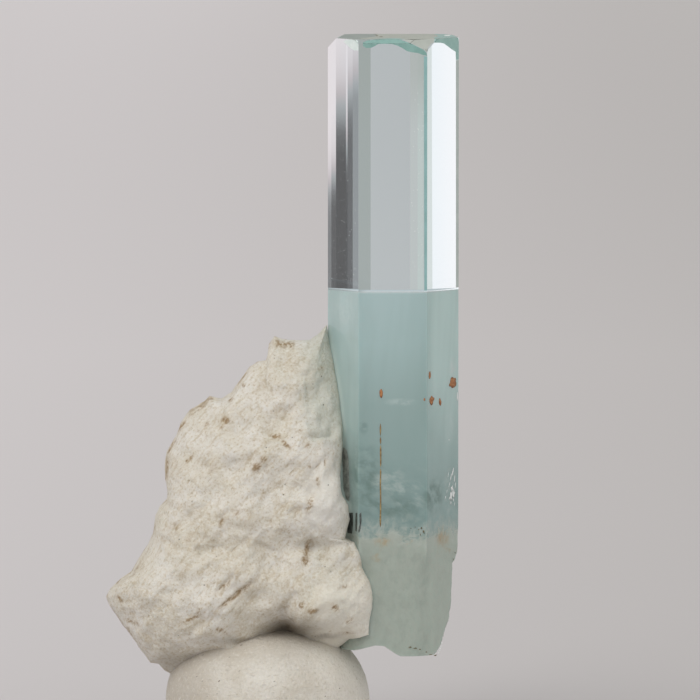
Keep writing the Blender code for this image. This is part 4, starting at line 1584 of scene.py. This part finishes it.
@dataclass
class Studio:
    """Pale floor, soft lights, reflection cards and the camera."""

    target: tuple = (4.93, 0.0, 28.4)
    distance: float = 600.0
    elevation: float = 4.9
    lens: float = 428.57
    world_strength: float = 0.55
    world_colour: Colour = (1.0, 0.985, 0.97)
    floor_size: float = 8000.0
    floor_fade: float = 1500.0
    light_target: tuple = (0.0, 0.0, 22.0)
    card_centre: tuple = (8.03, 0.5, 0.0)
    # Cards far behind the crystal: distance, height, lower edge.
    far_reach: float = 220.0
    far_height: float = 110.0
    far_low: float = -20.0
    # Graded cards: (name, angle from behind, width, height of their middle
    # tone, darkest tone, stretch of the gradient).
    graded: tuple = (
        ("card_edge", -3.38, 3.9, 24.6, 112.0, 1.0), ("card_a", -1.95, 7.0, 25.9, 62.0, 1.0),
        ("card_b", -0.26, 6.0, 32.45, 46.0, 1.6), ("card_line", 1.17, 5.0, 28.7, 55.0, 1.3),
        ("card_c1", 2.47, 5.0, 34.0, 84.0, 1.5), ("card_c2", 4.16, 8.0, 34.5, 144.0, 1.8))
    # Narrow cards close behind: (name, angle, width, lower and upper tone).
    windows: tuple = (
        ("window_left", 93.83, 0.904, tone(169, 169, 165), tone(168, 168, 163)),
        ("window_right", 86.75, 0.565, tone(199, 196, 193), tone(188, 185, 180)),
        ("window_edge", 85.77, 0.46, tone(201, 203, 198), tone(184, 183, 177)))

    def aim(self, name: str, data: bpy.types.ID, target: tuple, way: np.ndarray,
            reach: float) -> bpy.types.Object:
        """Camera or light that looks at a point.

        Args:
            name: object name.
            data: the camera or light.
            target: point it looks at, in millimetres.
            way: unit vector from that point to the object.
            reach: distance in millimetres.

        Returns:
            The new object, linked to the scene.
        """
        made = bpy.data.objects.new(name, data)
        bpy.context.scene.collection.objects.link(made)
        made.location = (Vector(target) + Vector(way) * reach) * MM
        made.rotation_euler = (-Vector(way)).to_track_quat("-Z", "Y").to_euler()
        return made

    def camera(self) -> None:
        """Long-lens camera a little above the specimen's middle."""
        data = bpy.data.cameras.new("studio_camera")
        data.lens, data.sensor_width = self.lens, 36.0
        data.clip_start, data.clip_end = 0.01, 30.0
        bpy.context.scene.camera = self.aim("studio_camera", data, self.target,
                                            -compass(90.0, -self.elevation), self.distance)

    def floor(self) -> None:
        """Wide pale floor with painted light fall-off, darker to the right and near the
        specimen, and a painted glow that softens shadows on it.
        """
        corners = np.array([[-1, -1, 0], [1, -1, 0], [1, 1, 0], [-1, 1, 0]]) * self.floor_size
        made = make_mesh("floor", corners, [[0, 1, 2, 3]], smooth=False)
        r = Recipe("floor_paper")
        # Painted light fall-off: darker to the right and near the specimen.
        shade = r.ramp(r.spread(r.axis(r.place(), "X"), -60.0, 75.0),
                       [(0.0, tone(208, 204, 205)), (1.0, tone(188, 185, 184))])
        out = r.reach(r.place(scale=(1 / self.floor_fade, 1 / self.floor_fade, 0.0)))
        fade = r.ramp(out, [(0.0, (0.76,) * 3), (0.10, (0.84,) * 3), (0.22, (0.92,) * 3),
                            (0.80, (1.04,) * 3)])
        shade = r.mix(1.0, shade, fade, "MULTIPLY")
        # The emission is a painted glow that softens shadows on the floor.
        made.data.materials.append(r.set(Base_Color=shade, Roughness=0.95,
                                         Specular_IOR_Level=0.1, Emission_Color=shade,
                                         Emission_Strength=0.35))

    def world(self) -> None:
        """Even pale light from all round."""
        world = bpy.data.worlds.new("studio_world")
        world.use_nodes = True
        background = world.node_tree.nodes["Background"]
        background.inputs["Color"].default_value = (*self.world_colour, 1.0)
        background.inputs["Strength"].default_value = self.world_strength
        bpy.context.scene.world = world

    def softbox(self, name: str, angle: float, slope: float, reach: float, size: float,
                power: float, colour: Colour) -> None:
        """Square area light aimed at the specimen.

        Args:
            name: light name.
            angle, slope: direction it stands in, in degrees.
            reach: its distance in millimetres.
            size: its width and height in millimetres.
            power: its power in watts.
            colour: its linear colour.
        """
        data = bpy.data.lights.new(name, "AREA")
        data.shape = "RECTANGLE"
        data.size = data.size_y = size * MM
        data.energy, data.color = power, colour
        made = self.aim(name, data, self.light_target, compass(angle, slope), reach)
        made.visible_camera = False

    def card(self, name: str, angle: float, reach: float, size: Pair, low: float,
             stops: list) -> None:
        """Glowing card that only shows through the clear crystal.

        Args:
            name: card name.
            angle: compass direction from the crystal in degrees.
            reach: distance in millimetres.
            size: width and height in millimetres.
            low: height of its lower edge.
            stops: (height, colour) of its vertical gradient.
        """
        width, height = size
        base = np.array(self.card_centre) + compass(angle) * reach
        side = compass(angle + 90.0) * width / 2
        corners = np.stack([base - side, base + side, base + side, base - side])
        corners[:, 2] = low, low, low + height, low + height
        made = make_mesh(name, corners, [[0, 1, 2, 3]], smooth=False)
        uv = made.data.uv_layers.new(name="card")
        uv.data.foreach_set("uv", [0, 0, 1, 0, 1, 1, 0, 1])
        r = Recipe(name)
        place = r.node("ShaderNodeUVMap", {}, uv_map="card").outputs[0]
        glow = r.ramp(r.axis(place, "Y"), [((z - low) / height, colour) for z, colour in stops])
        emit = r.node("ShaderNodeEmission", {"Color": glow, "Strength": 1.0})
        r.feed(r.output.inputs["Surface"], emit.outputs[0])
        made.data.materials.append(r.material)
        made.visible_camera = made.visible_diffuse = made.visible_glossy = False
        made.visible_shadow = made.visible_volume_scatter = False
        made.visible_transmission = True

    def fall(self, centre: float, dark: float, stretch: float) -> list:
        """Gradient of a graded card, from its darkest tone up to near white.

        Args:
            centre: height of its middle tone.
            dark: darkest display value.
            stretch: scale of its heights.

        Returns:
            (height, colour) stops.
        """
        tones = [(-3.6, dark), (-2.2, dark * 0.88 + 17.0), (-0.9, dark * 0.5 + 73.0),
                 (0.0, 146.0), (0.7, 168.0), (1.5, 190.0), (2.3, 208.0), (3.1, 219.0),
                 (4.6, 229.0), (7.0, 236.0)]
        stops = []
        for up, v in tones:
            warmth = (8.0, 6.0, 5.0) if v > 170.0 else (1.0, 1.0, 0.0)
            colour = tone(v + warmth[0], v - warmth[1], v - warmth[2])
            stops.append((centre + up * stretch, colour))
        return stops

    def cards(self) -> None:
        """Cards behind the crystal that give its faces their tones."""
        for name, angle, reach, size, low, colour in (
                ("white_card", 135.0, self.far_reach, (90.0, 160.0), self.far_low,
                 (1.10, 1.04, 1.05)),
                ("edge_card", 132.25, 40.0, (0.75, 60.0), 8.0, tone(236, 233, 229))):
            self.card(name, angle, reach, size, low, [(low, colour), (low + size[1], colour)])
        for name, angle, width, centre, dark, stretch in self.graded:
            self.card(name, 45.0 + angle, self.far_reach, (width, self.far_height),
                      self.far_low, self.fall(centre, dark, stretch))
        for name, angle, width, shade, top in self.windows:
            self.card(name, angle, 30.0, (width, 40.0), 18.0,
                      [(18.0, shade), (42.5, shade), (47.0, top), (58.0, top)])

    def build(self) -> None:
        """Set up the whole studio."""
        view = bpy.context.scene.view_settings
        view.view_transform, view.look, view.exposure, view.gamma = "Standard", "None", 0.0, 1.0
        self.camera()
        self.floor()
        self.world()
        self.softbox("key_softbox", -125.0, 48.0, 700.0, 420.0, 2.0, (1.0, 0.985, 0.96))
        self.softbox("fill_softbox", -35.0, 30.0, 800.0, 500.0, 0.6, (0.97, 0.985, 1.0))
        self.cards()


# -------------------------------------------------------- films and marks


# The teal, corner, pale-edge and mint films are painted light: the glow and reflections seen in
# the crystal's top and edges.
TEAL = MarkFinish("teal_film", tone(142, 182, 175), tone(130, 171, 164), 0.8, 0.35)
TEAL_EDGE = MarkFinish("teal_edge", tone(150, 192, 192), tone(141, 182, 181), 1.2, 0.3)
TEAL_EAR = MarkFinish("teal_ear", tone(170, 207, 200), tone(158, 197, 190), 0.7, 0.35)
CORNER = MarkFinish("corner_film", tone(186, 192, 185), tone(180, 186, 179), 0.9, 0.4)
PALE_EDGE = MarkFinish("pale_edge", tone(202, 213, 208), tone(190, 202, 198), 1.6, 0.3)
MINT = MarkFinish("mint_film", tone(238, 247, 245), tone(222, 237, 233), 0.8, 0.35)
# Grey strip painted for the shade and dark reflection in the gap beside the rock.
GAP_SHADE = MarkFinish("gap_shade", tone(168, 174, 168), tone(116, 122, 117), 0.35, 0.3)
# Dark bars painted for the shade and dark reflections by the rock.
BAR = MarkFinish("dark_bar", tone(96, 104, 100), tone(52, 58, 56), 0.16, 0.3)
RUST = MarkFinish("iron_stain", tone(190, 132, 84), tone(150, 92, 54), 0.2)
TUBE_RUST = MarkFinish("tube_rust", tone(176, 156, 104), tone(132, 106, 68), 0.3, 0.6)
# White for dust and chips, and for painted glints.
DUST_AND_GLINT = MarkFinish("white_glint", tone(246, 250, 249), tone(228, 236, 234), 0.3, 0.2)
ETCHED = MarkFinish("etched_top", tone(178, 183, 173), tone(168, 174, 165), 0.9, 0.5)
ETCHED_DARK = MarkFinish("etched_shade", tone(152, 162, 156), tone(142, 153, 148), 1.1, 0.5)
GRIT = MarkFinish("brown_grit", tone(120, 112, 84), tone(92, 84, 62), 0.2, 0.6)

# Films on the front faces, as (x, z) outlines.
# The band, corner, edge, ear, side and mint outlines carry painted light.
BAND_OUTLINE = [(5.86, 50.73), (6.14, 50.86), (6.64, 50.91), (7.07, 50.93), (7.50, 50.94),
                (8.36, 50.94), (8.64, 50.88), (9.07, 50.73), (9.49, 50.56), (9.92, 50.35),
                (10.24, 50.17), (10.39, 49.99), (10.43, 49.78), (10.14, 49.85), (9.78, 49.99),
                (9.35, 50.04), (8.99, 50.13), (8.64, 50.36), (8.28, 50.53), (7.92, 50.63),
                (7.35, 50.65), (6.93, 50.63), (6.71, 50.49), (6.43, 50.36), (6.07, 50.35),
                (5.86, 50.49)]
CORNER_OUTLINE = [(8.68, 50.942), (10.50, 50.942), (10.96, 50.942), (10.90, 50.68),
                  (10.76, 50.64), (10.49, 50.34), (10.42, 50.06), (10.26, 50.21),
                  (9.94, 50.38), (9.51, 50.59), (9.09, 50.76)]
EDGE_OUTLINE = [(10.20, 49.76), (10.435, 49.74), (10.435, 33.0), (10.24, 33.0), (10.22, 39.5)]
EAR_OUTLINE = [(10.93, 50.69), (10.99, 50.93), (11.60, 50.94), (12.40, 50.94), (12.70, 50.90),
               (12.735, 50.60), (12.735, 49.31), (12.53, 49.31), (12.51, 49.90), (12.24, 50.09),
               (11.95, 50.33), (11.66, 50.56), (11.44, 50.64)]
SIDE_OUTLINE = [(12.53, 49.29), (12.735, 49.29), (12.735, 32.93), (12.55, 32.93)]
MINT_OUTLINE = [(4.43, 50.72), (4.66, 50.88), (5.07, 50.93), (5.39, 50.92), (5.52, 50.77),
                (5.53, 50.49), (5.53, 50.17), (5.22, 50.15), (4.93, 50.30), (4.72, 50.50)]
# Painted shade and dark reflection in the gap beside the rock.
GAP_SHADE_OUTLINE = [(4.43, 21.58), (4.70, 21.39), (4.82, 20.83), (4.86, 19.61), (4.91, 18.39),
                (4.88, 17.74), (4.64, 17.86), (4.46, 18.62), (4.41, 19.91), (4.36, 20.99)]
# Painted shade and dark reflections by the rock.
BAR_OUTLINES = [
    [(4.80, 16.88), (5.13, 16.97), (5.16, 16.22), (5.06, 15.45), (4.76, 15.43), (4.70, 16.14)],
    [(5.32, 16.97), (5.45, 17.03), (5.45, 16.21), (5.40, 15.65), (5.31, 15.70)],
    [(5.60, 16.94), (5.73, 17.05), (5.76, 16.51), (5.70, 15.90), (5.57, 15.55), (5.53, 15.70),
     (5.62, 16.22)]]
# Films on the flat top, as (x, y).
# The teal films on the top carry painted light.
TOP_BAND_OUTLINE = [(6.1, -3.38), (6.9, -2.60), (7.9, -1.70), (8.4, -1.90), (8.8, -2.9),
                    (8.9, -3.38)]
TOP_OUTLINE = [(4.02, -1.22), (4.68, -2.40), (5.17, -3.18), (5.33, -3.402), (9.48, -3.402),
               (10.1, -3.12), (11.0, -2.685), (12.68, 0.12), (12.30, 3.28), (11.70, 4.44),
               (10.84, 4.80), (5.25, 4.80), (4.56, 4.32), (4.50, 4.0)]
TOP_SHADE_OUTLINE = [(4.60, 4.28), (5.3, 4.70), (6.8, 4.70), (6.9, 1.5), (6.1, -1.0), (5.5, -3.1),
                     (4.75, -2.40), (4.10, -1.20), (4.52, 3.9)]
TOP_TEAL_OUTLINE = [(11.0, 4.60), (11.65, 4.40), (12.25, 3.24), (12.62, 0.12), (11.05, -2.50),
                    (10.9, -1.2), (11.3, 1.5)]
# Painted highlight on a small chip at the top's right corner.
TOP_CHIP_HIGHLIGHT_OUTLINE = [(11.70, 2.3), (11.82, 1.5), (12.05, 1.4), (12.18, 2.0), (12.12, 2.8),
                    (11.92, 3.1), (11.76, 2.9)]
GRIT_OUTLINES = [[(6.75, 1.9), (6.85, 1.2), (6.98, 1.8), (6.88, 2.6)],
                 [(7.0, 0.5), (7.15, -0.1), (7.32, 0.4), (7.2, 0.9)],
                 [(6.6, 4.3), (6.9, 4.1), (6.95, 4.5), (6.7, 4.6)]]


def iron_stains() -> list[Mark]:
    """Rusty flakes on the right side of the crystal."""
    f, r = Side.FRONT, Side.RIGHT_FRONT
    return [Mark(f, 7.15, 25.60, 0.11, 0.30), Mark(f, 10.26, 25.18, 0.06, 0.10),
            Mark(r, 10.64, 26.91, 0.17, 0.28), Mark(r, 10.78, 25.07, 0.30, 0.30, 0.0, 0.4),
            Mark(r, 11.40, 24.84, 0.17, 0.24, 25.0), Mark(r, 12.32, 26.02, 0.55, 0.36, 15.0, 0.4)]


def foot_grit() -> list[Mark]:
    """Brown grit along the lower edge of the crystal."""
    f, r = Side.FRONT, Side.RIGHT_FRONT
    places = [(9.25, 7.32, 0.10, 0.04), (9.62, 7.25, 0.12, 0.04), (9.95, 7.18, 0.06, 0.05),
              (10.40, 6.98, 0.05, 0.04), (10.72, 6.80, 0.14, 0.03), (11.05, 6.74, 0.12, 0.035)]
    spots = [(10.05, 15.90, 0.06, 0.08), (10.22, 15.62, 0.05, 0.12), (9.85, 15.82, 0.03, 0.05),
             (9.60, 16.00, 0.03, 0.04), (9.98, 15.45, 0.03, 0.08), (9.30, 15.90, 0.03, 0.03)]
    return ([Mark(f, x, z, wide, high, 10.0, 0.5) for x, z, wide, high in places + spots]
            + [Mark(r, 12.40, 13.30, 0.05, 0.08), Mark(r, 12.52, 13.75, 0.04, 0.06)])


def fine_dust() -> list[Mark]:
    """Pale grains on the clear crystal, denser low down and by the right edge."""
    pick, base = np.random.default_rng(7), 33.6
    low = np.stack([pick.uniform(3.6, 5.35, 90), base + 12.0 * pick.uniform(0, 1, 90) ** 1.6], 1)
    edge = np.stack([10.15 - 0.9 * pick.uniform(0, 1, 60) ** 2, pick.uniform(base, 48.0, 60)], 1)
    size = pick.uniform(0.014, 0.032, 150).tolist()
    sides = [Side.LEFT_FRONT] * len(low) + [Side.FRONT] * len(edge)
    return [Mark(side, x, z, half, half)
            for side, (x, z), half in zip(sides, np.concatenate([low, edge]).tolist(), size)]


def white_glints() -> list[Mark]:
    """Bright chips along the edges of the lower crystal: white fractures, and partly
    painted highlights.
    """
    r, l = Side.RIGHT_FRONT, Side.LEFT_FRONT
    places = [(12.33, 19.62, 0.10, 0.30, -16.0), (12.20, 19.30, 0.07, 0.34, -20.0),
              (12.46, 19.10, 0.05, 0.26, -10.0), (12.08, 18.75, 0.04, 0.26, -24.0),
              (12.28, 18.45, 0.17, 0.22, -20.0), (12.40, 18.05, 0.17, 0.28, -12.0),
              (12.22, 17.95, 0.19, 0.36, -18.0), (12.10, 17.80, 0.05, 0.14, -30.0),
              (12.38, 17.60, 0.07, 0.12, 10.0), (12.20, 17.45, 0.06, 0.10, -10.0),
              (12.46, 17.30, 0.04, 0.16, -10.0), (11.90, 18.30, 0.03, 0.18, -26.0),
              (11.80, 17.90, 0.03, 0.12, -20.0), (12.52, 18.60, 0.03, 0.22, -8.0),
              (12.05, 22.00, 0.06, 0.07, 0.0), (12.00, 19.50, 0.03, 0.20, -22.0)]
    chips = [(11.38, 7.08), (11.46, 7.36), (11.52, 7.62), (11.40, 7.22), (11.30, 6.92)]
    return ([Mark(r, x, z, wide, high, lean, 0.5) for x, z, wide, high, lean in places]
            + [Mark(Side.FRONT, x, z, 0.03, 0.06, -20.0) for x, z in chips]
            + [Mark(r, 12.66, 25.05, 0.09, 0.34),
               Mark(Side.LEFT_FRONT, 4.97, 18.64, 0.08, 0.24)])


# ------------------------------------------------------------------- main


def main() -> None:
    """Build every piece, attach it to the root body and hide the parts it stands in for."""
    logging.basicConfig(level=logging.INFO, format="%(name)s: %(message)s")
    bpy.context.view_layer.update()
    Studio().build()
    prism = BerylPrism()
    crystal, rock, putty = (("aquamarine", "aquamarine_crystal"),
                            ("feldspar", "feldspar_matrix"), ("putty", "putty_mount"))
    plan = [(prism.clear_part(), *crystal), (prism.cloudy_part(), *crystal),
            (FeldsparLump(prism).build(), *rock), (PuttyMound().build(), *putty),
            (GrowthTube(prism).build(), "aquamarine", None)]
    for name, finish, marks in (
            # The white glints are partly painted highlights.
            ("iron_stains", RUST, iron_stains()), ("white_glints", DUST_AND_GLINT, white_glints()),
            ("foot_grit", GRIT, foot_grit()), ("fine_dust", DUST_AND_GLINT, fine_dust())):
        plan.append((FaceMarks(name, finish, marks, prism).build(), "aquamarine", None))
    for name, finish, outlines, *sizes in (
            # The teal, corner, ear, pale-edge and mint films are painted light.
            ("teal_band", TEAL, [BAND_OUTLINE], 0.05, 0.009),
            ("corner_film", CORNER, [CORNER_OUTLINE], 0.06),
            ("teal_edge", TEAL_EDGE, [EDGE_OUTLINE]),
            ("teal_ear", TEAL_EAR, [EAR_OUTLINE], 0.06),
            ("pale_edge", PALE_EDGE, [SIDE_OUTLINE]),
            ("etched_top", ETCHED, [TOP_OUTLINE], 0.4, 0.001, True),
            ("etched_shade", ETCHED_DARK, [TOP_SHADE_OUTLINE], 0.4, 0.0025, True),
            ("teal_top", TEAL, [TOP_BAND_OUTLINE, TOP_TEAL_OUTLINE], 0.2, 0.004, True),
            # Painted highlight on a small chip at the top's right corner.
            ("top_chip_highlight", DUST_AND_GLINT, [TOP_CHIP_HIGHLIGHT_OUTLINE], 0.14, 0.0055, True),
            ("brown_grit", GRIT, GRIT_OUTLINES, 0.1, 0.0055, True),
            ("mint_film", MINT, [MINT_OUTLINE], 0.06),
            # Painted shade and dark reflection in the gap beside the rock.
            ("gap_shade", GAP_SHADE, [GAP_SHADE_OUTLINE]),
            # Painted shade and dark reflections by the rock.
            ("dark_bars", BAR, BAR_OUTLINES, 0.08)):
        film = Film(name, finish, outlines, prism, *sizes).build()
        plan.append((film, "aquamarine", None))
    for piece, slot, node in plan:
        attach(piece, "root")
        if node:
            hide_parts(node)
        LOG.info("%s: %d faces", piece.name, len(piece.data.polygons))


if __name__ == "__main__":
    main()
